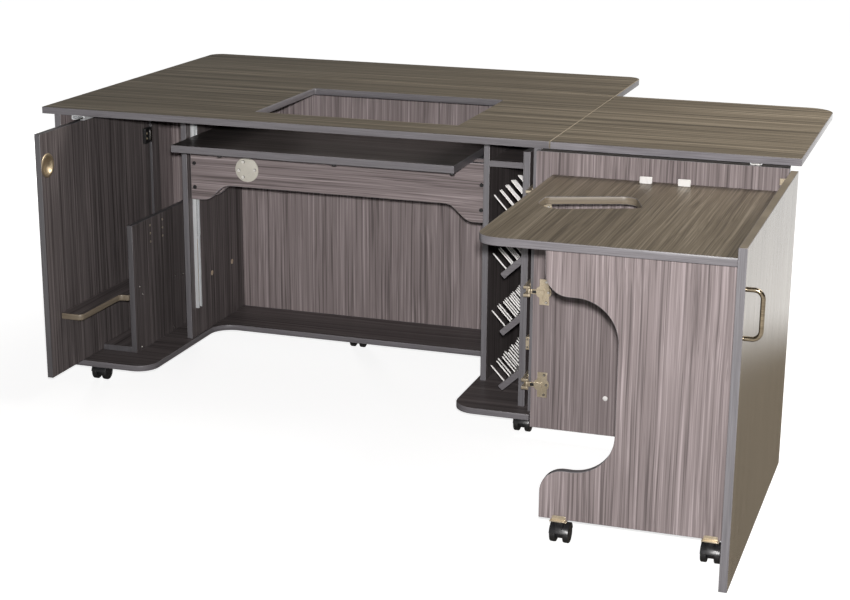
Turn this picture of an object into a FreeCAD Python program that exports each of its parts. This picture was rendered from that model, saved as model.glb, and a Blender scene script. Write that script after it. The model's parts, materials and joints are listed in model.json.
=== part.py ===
import FreeCAD, Part
import math
import os

# Sewing cabinet with a fold-over side leaf, a drop leaf behind, a powered machine
# lift, a pocket door over a storage bay, a thread rack and a swing-out side table.
# Built in millimetres with x to the right, y to the back and z up, measured from the
# point on the floor below the front left corner of the main top. Each piece is then
# moved so that the middle of the footprint is the origin.

# Boards and heights
TOP_Z = 765.0
TOP_T = 18.0
BOARD = 16.0
WING_T = 18.0
SIDE_T = 18.0
BASE_Z = 50.0
FLOOR_TOP = BASE_Z + BOARD
UNDER_TOP = TOP_Z - TOP_T

# Clearances: round running fits, and faces that pass each other
RUN = 0.08
SLIP = 0.5
PAST = 1.0

# Worktops
MAIN_W = 1394.0
MAIN_D = 726.0
RIGHT_LEAF_W = 605.0
REAR_LEAF_D = 357.0
SEAM = 1.0
LEAF_CORNER_R = 40.0
RIGHT_LEAF_CORNER_R = 70.0
CUT_X = (560.0, 1120.0)
CUT_Y = (130.0, 546.0)
CUT_R = 6.0

# Carcass panels, as the x of their left faces and the y of their front edges
LEFT_SIDE_X = 34.0
RIGHT_SIDE_X = 1354.0
LEFT_INNER_X = 265.0
RIGHT_INNER_X = 1169.0
SIDE_FRONT_Y = 4.0
LEFT_INNER_FRONT_Y = 284.0
RIGHT_INNER_FRONT_Y = 200.0
BACK_Y = 650.0
BACK_REAR_Y = BACK_Y + BOARD

# Base board with a knee recess
BASE_FRONT_Y = (0.0, -21.0)
BASE_NOTCH_X = 1364.0
PIER_X = (288.0, 1156.0)
KNEE_STRIP_Y = 450.0
PIER_CORNER_R = (55.0, 60.0)
KNEE_CORNER_R = 60.0

# Storage bay behind the pocket door
DIVIDER_X = 179.0
DIVIDER_Y = (108.0, 560.0)
DIVIDER_TOP = 430.0
BAY_FLOOR_X = 92.0
SHELF_Z = 217.0
SHELF_X = 91.5
SHELF_STRIP_W = 61.0
SHELF_FRONT_Y = -112.0
SHELF_STEP_Y = 102.0
SHELF_BACK_Y = 545.0
SHELF_CORNER_R = 12.0

# Pocket door
DOOR_X = 74.0
DOOR_Y = (-171.0, 479.0)
DOOR_Z = (68.0, 725.5)
PULL_YZ = (-139.0, 639.0)
PULL_FLANGE_R = 32.0
PULL_FLANGE_T = 1.5
PULL_CUP_R = 26.0
PULL_MOUTH_R = 24.0
PULL_DEPTH = 9.0
CARRIER_W = 46.0
CARRIER_T = 8.0
CARRIER_Z = (240.0, 727.0)
CARRIER_PLATE_T = 4.0
DOOR_HINGE_Z = (300.0, 622.0)
DOOR_HINGE_SIZE = (9.0, 40.0, 44.0)
DOOR_RAIL_FRONT_Y = 4.0
DOOR_RAIL_X = (86.0, 123.0)
DOOR_RAIL_Z = 735.0
DOOR_RAIL_WALL = 2.0
DOOR_RAIL_SLOT = 13.0
DOOR_RUNNER = (21.0, 236.0, 6.0)
DOOR_RUNNER_NECK = 7.0

# Thread rack in the right pier
RACK_X = 1320.0
RACK_Y = (34.0, 650.0)
RACK_TOP = 729.0
THREAD_SHELF_LEN = 83.5
THREAD_SHELF_ANGLE = 43.0
THREAD_SHELF_Y = (60.0, 560.0)
THREAD_SHELF_TOP_Z = (162.0, 310.0, 462.0, 614.0)
PEG_R = 2.2
PEG_LEN = 52.0
PEG_COLUMNS = 4
PEG_COLUMN_PITCH = 20.0
PEG_ROWS = 8
PEG_INSET = 25.0
PIER_SHELF_Z = 650.0

# Machine lift
LIFT_X = (303.0, 1106.0)
LIFT_Y = (145.0, 560.0)
LIFT_TOP = 656.0
PLATFORM_T = 20.0
APRON_X = (287.0, 1151.0)
APRON_Y = 295.0
REAR_APRON_Y = 356.0
APRON_MID_Z = 520.0
APRON_END_Z = 474.5
OGEE_LOW = 52.5
OGEE_RUN = 50.0
OGEE_R = 42.0
RAIL_T = 10.0
RAIL_Y = (312.0, 335.0)
RAIL_Z = (150.0, 735.0)
RAIL_WALL = 1.5
RAIL_LIP = 5.0
RUNNER_Z = (482.0, 640.0)
RUNNER_GAP = 0.6
BRACKET_T = 4.0
BRACKET_Y = 380.0
BRACKET_Z = (485.0, 635.0)
BRACKET_FLANGE = 38.0
SCREW_XY = (1136.0, 430.0)
SCREW_R = 8.0
SCREW_PLAY = 0.6
SCREW_BLOCK = (18.0, 15.0, 22.0)
DRIVE_X = (26.0, 24.0)
DRIVE_HALF_Y = 35.0
DRIVE_H = 70.0
DRIVE_PLATE = (60.0, 6.0)
DISC_XZ = (458.5, 570.0)
DISC_R = 34.5
DISC_T = 2.0
APRON_SCREW_X = (298.0, 1135.5)
APRON_SCREW_Z = (509.5, 577.5)
APRON_SCREW_R = (3.0, 5.5)
APRON_SCREW_H = 3.0
GLIDE_X = (442.0, 772.0, 1098.0)
GLIDE_R = 7.0
GLIDE_H = 5.0
GLIDE_INSET = 10.0

# Swing-out side table
WING_X = 1366.0
WING_W = 609.0
FOLD_GAP = 3.0
WING_INNER_X = WING_X + WING_W + FOLD_GAP
WING_BACK_Y = 2.0
WING_FRONT_Y = -16.0
WING_BACK_Z = 32.0
WING_TOP = 744.0
WING_SIDE_FRONT_Y = -795.0
WING_SIDE_Z = (15.0, 739.0)
TABLE_X = 1408.0
TABLE_FRONT_Y = -676.0
TABLE_TOP = 688.0
TABLE_CORNER_R = 52.0
SLOT_OUTLINE = (
    (1456.0, -263.0, 14.0),
    (1456.0, -397.0, 55.0),
    (1690.0, -301.5, 16.0),
    (1650.5, -190.5, 32.0),
)
FRONT_PANEL_X = 1556.0
FRONT_PANEL_Y = -640.0
FRONT_PANEL_LOW = 60.0
S_CUT_X = 1718.0
S_CUT_Z = (173.0, 563.0)
S_CUT_INNER_R = 93.0
S_CUT_LOBE_R = 52.0
WING_PIVOT = (1358.0, -22.0)
WING_HINGE_Z = (148.0, 390.0, 632.0)
HINGE_EAR_Z = (6.5, 14.0)
HINGE_EYE_R = 4.5
HINGE_PIN_R = 2.0
HINGE_ARM_T = 12.0
HINGE_ARM_Y = (8.0, 62.0)
HINGE_EAR_T = 8.0
HINGE_EAR_INSET = 2.0
HINGE_FLANGE = (25.0, 2.0, 66.0)
HINGE_CUP_INSET = 30.0
HINGE_CUP_R = 17.5
HINGE_CUP_DEPTH = 11.0
HINGE_LINK_Z = 6.0
WING_PULL_Y = -775.0
WING_PULL_Z = (553.0, 653.0)
WING_PULL_R = 5.0
WING_PULL_REACH = 33.0
WING_PULL_BEND = 18.0
BLOCK_X = (1628.0, 1720.0)
BLOCK_Y = (-45.0, -39.0)
BLOCK_SIZE = (30.0, 17.0)
LEAF_GLIDE_X = (1883.0, 1906.0)
LEAF_GLIDE_Y = (-12.0, 12.0)

# Casters: name to swivel axis x, y and the side the wheels trail to
CASTER_TRAIL = 12.0
CABINET_CASTERS = {
    "left_front": (114.0, 65.0, -1.0),
    "right_front": (1335.0, 49.0, -1.0),
    "knee": (682.0, 585.0, -1.0),
    "left_rear": (114.0, 600.0, -1.0),
    "right_rear": (1300.0, 600.0, -1.0),
}
WING_CASTERS = {
    "wing_left": (1602.0, -631.0, 1.0),
    "wing_right": (1934.0, -631.0, 1.0),
}
WHEEL_R = 22.0
WHEEL_W = 13.5
WHEEL_GAP = 16.0
HUB_R = 13.0
AXLE_R = 3.0
TYRE_ROUND = 2.5
HOOD_R = (23.0, 24.6)
HOOD_LOW = 26.0
WEB_HALF_Y = 9.0
WEB_LOW = 24.0
SWIVEL_CAP_R = 11.0
SWIVEL_CAP_LOW = 44.4
SWIVEL_GAP = 0.3
STEM_R = 5.0
PLATE_W = 38.0
PLATE_T = 3.0
LIP_SIZE = (31.0, 2.0, 9.0)
LIP_R = 4.0

# Drop leaf hinges and folding brackets
HINGE_DROP = 4.0
KNUCKLE_R = 3.6
KNUCKLE_SPLIT = 11.0
DROP_HINGE_X = (200.0, 700.0, 1200.0)
DROP_HINGE_HALF = 34.0
DROP_PLATE_Y = (4.6, 32.0)
DROP_PLATE_T = 2.0
DROP_TAB_T = 1.6
DROP_PIN_R = 1.5
BRACKET_X = (420.0, 980.0)
ARM_HALF_W = 10.0
ARM_T = 5.0
ARM_Y = (40.0, 240.0)
EAR_T = 4.0
STRUT_OUT = 190.0
STRUT_DROP = 14.0
STRUT_BACK_Y = 682.0
STRUT_R = 8.0
STRUT_T = 4.0
STRUT_LEAN = 225.0
STRUT_PIN_R = 3.0
STRUT_TRACK_Z = (200.0, 530.0)
STRUT_TRACK_HALF = 9.0
STRUT_TRACK_DEPTH = 13.0
STRUT_TRACK_WALL = 2.0

# Seam hinges of the fold-over leaf
BARREL_Y = (90.0, 363.0, 636.0)
BARREL_R = 6.0
BARREL_LEN = 12.0

# The footprint's middle, which becomes the origin
REACH_X = WING_INNER_X + WING_T + WING_PULL_REACH + WING_PULL_R
REACH_Y = MAIN_D + SEAM + REAR_LEAF_D
ORIGIN = FreeCAD.Vector(REACH_X / 2, (REACH_Y + WING_SIDE_FRONT_Y) / 2, 0)

AXES = {
    "x": FreeCAD.Vector(1, 0, 0),
    "y": FreeCAD.Vector(0, 1, 0),
    "z": FreeCAD.Vector(0, 0, 1),
}


def export(name, *solids):
    """Write the solids of one node, moved to the shared origin."""
    shape = solids[0] if len(solids) == 1 else Part.makeCompound(list(solids))
    moved = shape.copy()
    moved.translate(-ORIGIN)
    moved.exportStep("parts/" + name + ".step")


def box(x, y, z):
    """A block between pairs of coordinates."""
    size = [pair[1] - pair[0] for pair in (x, y, z)]
    return Part.makeBox(size[0], size[1], size[2], FreeCAD.Vector(x[0], y[0], z[0]))


def rod(centre, axis, radius, length):
    """A round bar from a centre point along a named axis."""
    return Part.makeCylinder(radius, length, FreeCAD.Vector(*centre), AXES[axis])


def place(axis, u, v, w):
    """A point from two outline coordinates and one along the named axis."""
    if axis == "z":
        return FreeCAD.Vector(u, v, w)
    if axis == "y":
        return FreeCAD.Vector(u, w, v)
    return FreeCAD.Vector(w, u, v)


def corner_points(before, corner, after):
    """Start, middle and end of the arc that rounds one corner of an outline."""
    x, y, radius = corner
    to_before = (before[0] - x, before[1] - y)
    to_after = (after[0] - x, after[1] - y)
    a = math.atan2(to_before[1], to_before[0])
    b = math.atan2(to_after[1], to_after[0])
    half = abs(math.atan2(math.sin(b - a), math.cos(b - a))) / 2
    run = radius / math.tan(half)
    middle = math.atan2(math.sin(a) + math.sin(b), math.cos(a) + math.cos(b))
    reach = radius / math.sin(half) - radius
    start = (x + run * math.cos(a), y + run * math.sin(a))
    mid = (x + reach * math.cos(middle), y + reach * math.sin(middle))
    end = (x + run * math.cos(b), y + run * math.sin(b))
    return start, mid, end


def prism(corners, axis, low, high):
    """Extrude an outline of (u, v, corner radius) along the named axis."""
    edges = []
    last = None
    first = None
    count = len(corners)
    for i, corner in enumerate(corners):
        if corner[2] > 0:
            points = corner_points(corners[i - 1], corner, corners[(i + 1) % count])
        else:
            points = (corner[:2],)
        vectors = [place(axis, p[0], p[1], low) for p in points]
        if last is not None and last.distanceToPoint(vectors[0]) > 1e-6:
            edges.append(Part.makeLine(last, vectors[0]))
        if len(vectors) == 3:
            edges.append(Part.Arc(*vectors).toShape())
        first = first or vectors[0]
        last = vectors[-1]
    if last.distanceToPoint(first) > 1e-6:
        edges.append(Part.makeLine(last, first))
    face = Part.Face(Part.Wire(edges))
    return face.extrude(AXES[axis] * (high - low))


def worktops():
    """Main top with the machine cut-out, fold-over leaf, drop leaf and seam hinges."""
    top = box((0, MAIN_W), (0, MAIN_D), (UNDER_TOP, TOP_Z))
    cut = [(x, y, CUT_R) for x, y in
           ((CUT_X[0], CUT_Y[0]), (CUT_X[1], CUT_Y[0]), (CUT_X[1], CUT_Y[1]), (CUT_X[0], CUT_Y[1]))]
    top = top.cut(prism(cut, "z", UNDER_TOP - PAST, TOP_Z + PAST))
    leaf_x = MAIN_W + SEAM
    right = prism([(leaf_x, 0, 0), (leaf_x + RIGHT_LEAF_W, 0, 0),
                   (leaf_x + RIGHT_LEAF_W, MAIN_D, RIGHT_LEAF_CORNER_R), (leaf_x, MAIN_D, 0)],
                  "z", UNDER_TOP, TOP_Z)
    rear_y = MAIN_D + SEAM
    rear = prism([(0, rear_y, 0), (MAIN_W, rear_y, 0), (MAIN_W, rear_y + REAR_LEAF_D, LEAF_CORNER_R),
                  (0, rear_y + REAR_LEAF_D, LEAF_CORNER_R)], "z", UNDER_TOP, TOP_Z)
    barrel_z = TOP_Z - TOP_T / 2
    fixed = [rod((MAIN_W - BARREL_LEN, y, barrel_z), "x", BARREL_R, BARREL_LEN) for y in BARREL_Y]
    moving = [rod((leaf_x, y, barrel_z), "x", BARREL_R, BARREL_LEN) for y in BARREL_Y]
    export("main_top", top.cut(fixed))
    export("right_leaf", right.cut(moving))
    export("rear_leaf", rear)
    export("seam_hinge_fixed", *fixed)
    export("seam_hinge_moving", *moving)
    export("leaf_glide", box(LEAF_GLIDE_X, LEAF_GLIDE_Y, (WING_TOP + SLIP, UNDER_TOP)))


def carcass():
    """Side, inner and back panels, and the base board with its knee recess."""
    panel_z = (FLOOR_TOP, UNDER_TOP)
    base_x = (LEFT_SIDE_X, RIGHT_SIDE_X + SIDE_T)
    export("left_side_panel",
           box((LEFT_SIDE_X, LEFT_SIDE_X + SIDE_T), (SIDE_FRONT_Y, BACK_REAR_Y), panel_z))
    export("right_side_panel",
           box((RIGHT_SIDE_X, base_x[1]), (SIDE_FRONT_Y, BACK_REAR_Y), panel_z))
    export("left_inner_panel",
           box((LEFT_INNER_X, LEFT_INNER_X + BOARD), (LEFT_INNER_FRONT_Y, BACK_Y), panel_z))
    export("right_inner_panel",
           box((RIGHT_INNER_X, RIGHT_INNER_X + BOARD), (RIGHT_INNER_FRONT_Y, BACK_Y), panel_z))
    export("back_panel",
           box((LEFT_SIDE_X + SIDE_T, RIGHT_SIDE_X), (BACK_Y, BACK_REAR_Y), panel_z))
    outline = [
        (base_x[0], BASE_FRONT_Y[0], 0),
        (PIER_X[0], BASE_FRONT_Y[0], PIER_CORNER_R[0]),
        (PIER_X[0], KNEE_STRIP_Y, KNEE_CORNER_R),
        (PIER_X[1], KNEE_STRIP_Y, KNEE_CORNER_R),
        (PIER_X[1], BASE_FRONT_Y[1], PIER_CORNER_R[1]),
        (BASE_NOTCH_X, BASE_FRONT_Y[1], 0),
        (BASE_NOTCH_X, SIDE_FRONT_Y, 0),
        (base_x[1], SIDE_FRONT_Y, 0),
        (base_x[1], BACK_REAR_Y, 0),
        (base_x[0], BACK_REAR_Y, 0),
    ]
    export("base_board", prism(outline, "z", BASE_Z, FLOOR_TOP))


def storage_bay():
    """Divider, floor and notched shelf of the bay behind the pocket door."""
    export("storage_divider",
           box((DIVIDER_X, DIVIDER_X + BOARD), DIVIDER_Y, (FLOOR_TOP, DIVIDER_TOP)))
    export("storage_floor",
           box((BAY_FLOOR_X, DIVIDER_X), DIVIDER_Y, (FLOOR_TOP, FLOOR_TOP + BOARD)))
    strip_x = SHELF_X + SHELF_STRIP_W
    outline = [
        (SHELF_X, SHELF_FRONT_Y, 0),
        (strip_x, SHELF_FRONT_Y, SHELF_CORNER_R),
        (strip_x, SHELF_STEP_Y, SHELF_CORNER_R),
        (DIVIDER_X, SHELF_STEP_Y, 0),
        (DIVIDER_X, SHELF_BACK_Y, 0),
        (SHELF_X, SHELF_BACK_Y, 0),
    ]
    export("storage_shelf", prism(outline, "z", SHELF_Z, SHELF_Z + BOARD))


def pocket_door():
    """Sliding door with its flush pull, its carrier and the channel that guides it."""
    inner = DOOR_X + BOARD
    y, z = PULL_YZ
    pocket = rod((inner - PULL_DEPTH, y, z), "x", PULL_CUP_R, PULL_DEPTH)
    door = box((DOOR_X, inner), DOOR_Y, DOOR_Z)
    export("left_door", door.cut(pocket))
    flange = rod((inner, y, z), "x", PULL_FLANGE_R, PULL_FLANGE_T)
    dish_r = (PULL_MOUTH_R ** 2 + PULL_DEPTH ** 2) / (2 * PULL_DEPTH)
    dish = Part.makeSphere(dish_r, FreeCAD.Vector(inner - PULL_DEPTH + PULL_FLANGE_T + dish_r, y, z))
    export("flush_pull", flange.fuse(pocket).cut(dish).removeSplitter())
    door_carrier(inner)
    door_rails()


def door_carrier(inner):
    """Strip behind the door's rear edge, and the fittings: two hinges and the runner it hangs on."""
    strip_y = (DOOR_Y[1] - CARRIER_W, DOOR_Y[1])
    high = CARRIER_Z[1]
    middle = sum(DOOR_RAIL_X) / 2
    runner_w, runner_len, runner_h = DOOR_RUNNER
    runner_z = DOOR_RAIL_Z + DOOR_RAIL_WALL + PAST
    neck = DOOR_RUNNER_NECK / 2
    export("door_carrier", box((inner, inner + CARRIER_T), strip_y, CARRIER_Z))
    plate = box((inner, middle + runner_w / 2), strip_y, (high, high + CARRIER_PLATE_T))
    runner = plate.fuse([
        box((middle - neck, middle + neck), strip_y, (high + CARRIER_PLATE_T, runner_z)),
        box((middle - runner_w / 2, middle + runner_w / 2), (DOOR_Y[1] - runner_len, DOOR_Y[1]),
            (runner_z, runner_z + runner_h)),
    ]).removeSplitter()
    depth, width, height = DOOR_HINGE_SIZE
    hinges = [box((inner, inner + depth), (strip_y[0] - width, strip_y[0]), (z - height / 2, z + height / 2))
              for z in DOOR_HINGE_Z]
    export("door_fittings", runner, *hinges)


def door_rails():
    """Slide channel under the top, open below for the runner's neck."""
    rail_y = (DOOR_RAIL_FRONT_Y, BACK_Y)
    past_y = (rail_y[0] - PAST, rail_y[1] + PAST)
    wall = DOOR_RAIL_WALL
    middle = sum(DOOR_RAIL_X) / 2
    slot = (middle - DOOR_RAIL_SLOT / 2, middle + DOOR_RAIL_SLOT / 2)
    rail = box(DOOR_RAIL_X, rail_y, (DOOR_RAIL_Z, UNDER_TOP))
    hollow = box((DOOR_RAIL_X[0] + wall, DOOR_RAIL_X[1] - wall), past_y,
                 (DOOR_RAIL_Z + wall, UNDER_TOP - wall))
    mouth = box(slot, past_y, (DOOR_RAIL_Z - PAST, DOOR_RAIL_Z + wall + PAST))
    export("door_rails", rail.cut([hollow, mouth]))


def thread_rack():
    """Rack board, slanted shelves with pegs, and the shelf across the pier's top."""
    export("thread_rack_board", box((RACK_X, RACK_X + SIDE_T), RACK_Y, (FLOOR_TOP, RACK_TOP)))
    export("pier_top_shelf",
           box((RIGHT_INNER_X + BOARD, RACK_X), (RIGHT_INNER_FRONT_Y, BACK_Y),
               (PIER_SHELF_Z, PIER_SHELF_Z + BOARD)))
    angle = math.radians(THREAD_SHELF_ANGLE)
    down = (-math.cos(angle), -math.sin(angle))
    out = (-math.sin(angle), math.cos(angle))
    drop = BOARD / math.cos(angle)
    row_pitch = (THREAD_SHELF_Y[1] - THREAD_SHELF_Y[0] - 2 * PEG_INSET) / (PEG_ROWS - 1)
    first = (THREAD_SHELF_LEN - (PEG_COLUMNS - 1) * PEG_COLUMN_PITCH) / 2
    shelves = []
    pegs = []
    for top_z in THREAD_SHELF_TOP_Z:
        end = (RACK_X + THREAD_SHELF_LEN * down[0], top_z + THREAD_SHELF_LEN * down[1])
        low = (end[0] - BOARD * out[0], end[1] - BOARD * out[1])
        outline = [(RACK_X, top_z, 0), (end[0], end[1], 0), (low[0], low[1], 0), (RACK_X, top_z - drop, 0)]
        shelves.append(prism(outline, "y", *THREAD_SHELF_Y))
        for column in range(PEG_COLUMNS):
            along = first + column * PEG_COLUMN_PITCH
            foot = (RACK_X + along * down[0], top_z + along * down[1])
            for row in range(PEG_ROWS):
                y = THREAD_SHELF_Y[0] + PEG_INSET + row * row_pitch
                pegs.append(Part.makeCylinder(PEG_R, PEG_LEN, FreeCAD.Vector(foot[0], y, foot[1]),
                                              FreeCAD.Vector(out[0], 0, out[1])))
    export("thread_shelves", *shelves)
    export("thread_pegs", *pegs)


def apron(x, y):
    """A lift apron with an ogee at each end, between two x and from one y."""
    top = LIFT_TOP - PLATFORM_T
    middle = (APRON_X[0] + APRON_X[1]) / 2
    low = middle - APRON_X[0] - OGEE_LOW
    high = low - OGEE_RUN
    outline = [
        (x[0], top, 0), (x[0], APRON_END_Z, 0),
        (middle - low, APRON_END_Z, OGEE_R), (middle - high, APRON_MID_Z, OGEE_R),
        (middle + high, APRON_MID_Z, OGEE_R), (middle + low, APRON_END_Z, OGEE_R),
        (x[1], APRON_END_Z, 0), (x[1], top, 0),
    ]
    return prism(outline, "y", y, y + BOARD)


def lift_runner(side):
    """One fixed slide rail and the moving runner with its apron bracket."""
    left = side == "left"
    face = LEFT_INNER_X + BOARD if left else RIGHT_INNER_X
    sign = 1 if left else -1

    def across(a, b):
        return tuple(sorted((face + sign * a, face + sign * b)))

    inner_y = (RAIL_Y[0] + RAIL_WALL, RAIL_Y[1] - RAIL_WALL)
    mouth_y = (RAIL_Y[0] + RAIL_LIP, RAIL_Y[1] - RAIL_LIP)
    past_z = (RAIL_Z[0] - PAST, RAIL_Z[1] + PAST)
    inside = (RAIL_WALL, RAIL_T - RAIL_WALL)
    rail = box(across(0, RAIL_T), RAIL_Y, RAIL_Z)
    channel = box(across(*inside), inner_y, past_z)
    mouth = box(across(inside[1] - PAST, RAIL_T + PAST), mouth_y, past_z)
    plate_from = RAIL_T + RAIL_WALL
    runner = box(across(inside[0] + RUNNER_GAP, inside[1] - RUNNER_GAP),
                 (inner_y[0] + RUNNER_GAP, inner_y[1] - RUNNER_GAP), RUNNER_Z)
    neck = box(across(inside[1] - PAST, plate_from), (mouth_y[0] + PAST, mouth_y[1] - PAST), RUNNER_Z)
    apron_back = APRON_Y + BOARD
    plate = box(across(plate_from, plate_from + BRACKET_T), (apron_back, BRACKET_Y), BRACKET_Z)
    flange = box(across(plate_from, plate_from + BRACKET_FLANGE),
                 (apron_back, apron_back + BRACKET_T), BRACKET_Z)
    return rail.cut([channel, mouth]), runner.fuse([neck, plate, flange]).removeSplitter()


def machine_lift():
    """Platform, aprons, slides, lifting screw and drive, cover disc, screws and glides."""
    platform_z = (LIFT_TOP - PLATFORM_T, LIFT_TOP)
    under = platform_z[0]
    export("lift_platform", box(LIFT_X, LIFT_Y, platform_z))
    inset = RAIL_T + RAIL_WALL + BRACKET_T
    rear_x = (LEFT_INNER_X + BOARD + inset, RIGHT_INNER_X - inset)
    export("lift_aprons", apron(APRON_X, APRON_Y), apron(rear_x, REAR_APRON_Y))
    left_rail, left_runner = lift_runner("left")
    right_rail, right_runner = lift_runner("right")
    export("lift_rails", left_rail, right_rail)
    export("lift_runners", left_runner, right_runner)
    lift_drive(under)

    disc = rod((DISC_XZ[0], APRON_Y - DISC_T, DISC_XZ[1]), "y", DISC_R, DISC_T)
    export("cover_disc", disc)
    heads = []
    for x in APRON_SCREW_X:
        for z in APRON_SCREW_Z:
            face = FreeCAD.Vector(x, APRON_Y - APRON_SCREW_H, z)
            heads.append(Part.makeCone(APRON_SCREW_R[0], APRON_SCREW_R[1], APRON_SCREW_H, face, AXES["y"]))
    export("apron_screws", *heads)
    glides = [rod((x, LIFT_Y[0] + GLIDE_INSET, under - GLIDE_H), "z", GLIDE_R, GLIDE_H) for x in GLIDE_X]
    export("platform_glides", *glides)


def lift_drive(under):
    """Fixed lifting screw between its end blocks, and the drive that climbs it with the platform."""
    x, y = SCREW_XY
    left, half_y, height = SCREW_BLOCK
    block_x = (x - left, RIGHT_INNER_X)
    block_y = (y - half_y, y + half_y)
    screw = rod((x, y, FLOOR_TOP), "z", SCREW_R, UNDER_TOP - FLOOR_TOP)
    foot = box(block_x, block_y, (FLOOR_TOP, FLOOR_TOP + height))
    head = box(block_x, block_y, (UNDER_TOP - height, UNDER_TOP))
    export("lift_screw", screw.fuse([foot, head]).removeSplitter())
    reach, plate_t = DRIVE_PLATE
    drive_y = (y - DRIVE_HALF_Y, y + DRIVE_HALF_Y)
    plate = box((LIFT_X[1] - reach, x + DRIVE_X[1]), drive_y, (under - plate_t, under))
    drive_z = under - plate_t - DRIVE_H
    housing = box((x - DRIVE_X[0], x + DRIVE_X[1]), drive_y, (drive_z, under - plate_t))
    bore = rod((x, y, drive_z - PAST), "z", SCREW_R + SCREW_PLAY, under - drive_z + 2 * PAST)
    export("lift_drive", plate.fuse(housing).cut(bore).removeSplitter())


def s_outline():
    """Outline of the side table's front panel, cut away in a double curve on its left."""
    left = FRONT_PANEL_X
    right = WING_INNER_X
    top = TABLE_TOP - WING_T
    low, high = S_CUT_Z
    return [
        (left, FRONT_PANEL_LOW, 0), (right, FRONT_PANEL_LOW, 0), (right, top, 0), (left, top, 0),
        (left, high, S_CUT_LOBE_R), (S_CUT_X, high, S_CUT_INNER_R),
        (S_CUT_X, low, S_CUT_INNER_R), (left, low, S_CUT_LOBE_R),
    ]


def pull_bar():
    """Round bar pull bent from two posts, with its axis in a plane of constant y."""
    face = WING_INNER_X + WING_T
    bar = face + WING_PULL_REACH
    low, high = WING_PULL_Z
    bend = WING_PULL_BEND
    near = bend * (1 - math.sqrt(0.5))

    def at(x, z):
        return FreeCAD.Vector(x, WING_PULL_Y, z)

    path = Part.Wire([
        Part.makeLine(at(face, low), at(bar - bend, low)),
        Part.Arc(at(bar - bend, low), at(bar - near, low + near), at(bar, low + bend)).toShape(),
        Part.makeLine(at(bar, low + bend), at(bar, high - bend)),
        Part.Arc(at(bar, high - bend), at(bar - near, high - near), at(bar - bend, high)).toShape(),
        Part.makeLine(at(bar - bend, high), at(face, high)),
    ])
    ring = Part.Wire(Part.makeCircle(WING_PULL_R, at(face, low), AXES["x"]))
    return path.makePipeShell([ring], True, False)


def wing_hinge(z):
    """Fixed arm, moving cup and the cup's recess of one side table hinge at a height."""
    px, py = WING_PIVOT
    low, high = HINGE_EAR_Z
    inner_face = RIGHT_SIDE_X
    half = HINGE_EAR_T / 2
    ear_x = (inner_face - HINGE_ARM_T + HINGE_EAR_INSET, inner_face - HINGE_EAR_INSET)
    fixed = box((inner_face - HINGE_ARM_T, inner_face), HINGE_ARM_Y, (z - high, z + high))
    for ear_z in ((z + low, z + high), (z - high, z - low)):
        reach = box(ear_x, (py - half, HINGE_ARM_Y[0]), ear_z)
        tip = box((ear_x[0], px), (py - half, py + half), ear_z)
        eye = rod((px, py, ear_z[0]), "z", HINGE_EYE_R, high - low)
        fixed = fixed.fuse([reach, tip, eye])
    fixed = fixed.fuse(rod((px, py, z - high), "z", HINGE_PIN_R, 2 * high)).removeSplitter()

    face = WING_FRONT_Y
    cup_x = WING_X + HINGE_CUP_INSET
    width, thick, height = HINGE_FLANGE
    link_z = (z - HINGE_LINK_Z, z + HINGE_LINK_Z)
    flange = box((cup_x - width / 2, cup_x + width / 2), (face - thick, face),
                 (z - height / 2, z + height / 2))
    cup = rod((cup_x, face, z), "y", HINGE_CUP_R, HINGE_CUP_DEPTH)
    link = box((px, cup_x), (py, face - thick), link_z)
    knuckle = rod((px, py, link_z[0]), "z", HINGE_EYE_R, 2 * HINGE_LINK_Z)
    bore = rod((px, py, z - high), "z", HINGE_PIN_R + RUN, 2 * high)
    moving = flange.fuse([cup, link, knuckle]).cut(bore).removeSplitter()
    return fixed, moving, cup


def side_table():
    """Swing-out table: back, side and front panels, tabletop, pull, blocks and hinges."""
    end = WING_X + WING_W
    hinges = [wing_hinge(z) for z in WING_HINGE_Z]
    back = box((WING_X, end), (WING_FRONT_Y, WING_BACK_Y), (WING_BACK_Z, WING_TOP))
    export("wing_back_panel", back.cut([cup for _, _, cup in hinges]))
    export("wing_side_panel",
           box((WING_INNER_X, WING_INNER_X + WING_T), (WING_SIDE_FRONT_Y, WING_FRONT_Y), WING_SIDE_Z))
    export("wing_front_panel", prism(s_outline(), "y", FRONT_PANEL_Y, FRONT_PANEL_Y + WING_T))
    table = prism([(TABLE_X, TABLE_FRONT_Y, TABLE_CORNER_R), (WING_INNER_X, TABLE_FRONT_Y, 0),
                   (WING_INNER_X, WING_FRONT_Y, 0), (TABLE_X, WING_FRONT_Y, 0)],
                  "z", TABLE_TOP - WING_T, TABLE_TOP)
    export("wing_table", table.cut(prism(SLOT_OUTLINE, "z", TABLE_TOP - WING_T - PAST, TABLE_TOP + PAST)))
    export("wing_pull", pull_bar())
    width, height = BLOCK_SIZE
    export("wing_blocks", *[box((x, x + width), BLOCK_Y, (TABLE_TOP, TABLE_TOP + height)) for x in BLOCK_X])
    export("wing_hinge_arms", *[fixed for fixed, _, _ in hinges])
    export("wing_hinge_cups", *[moving for _, moving, _ in hinges])


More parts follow.
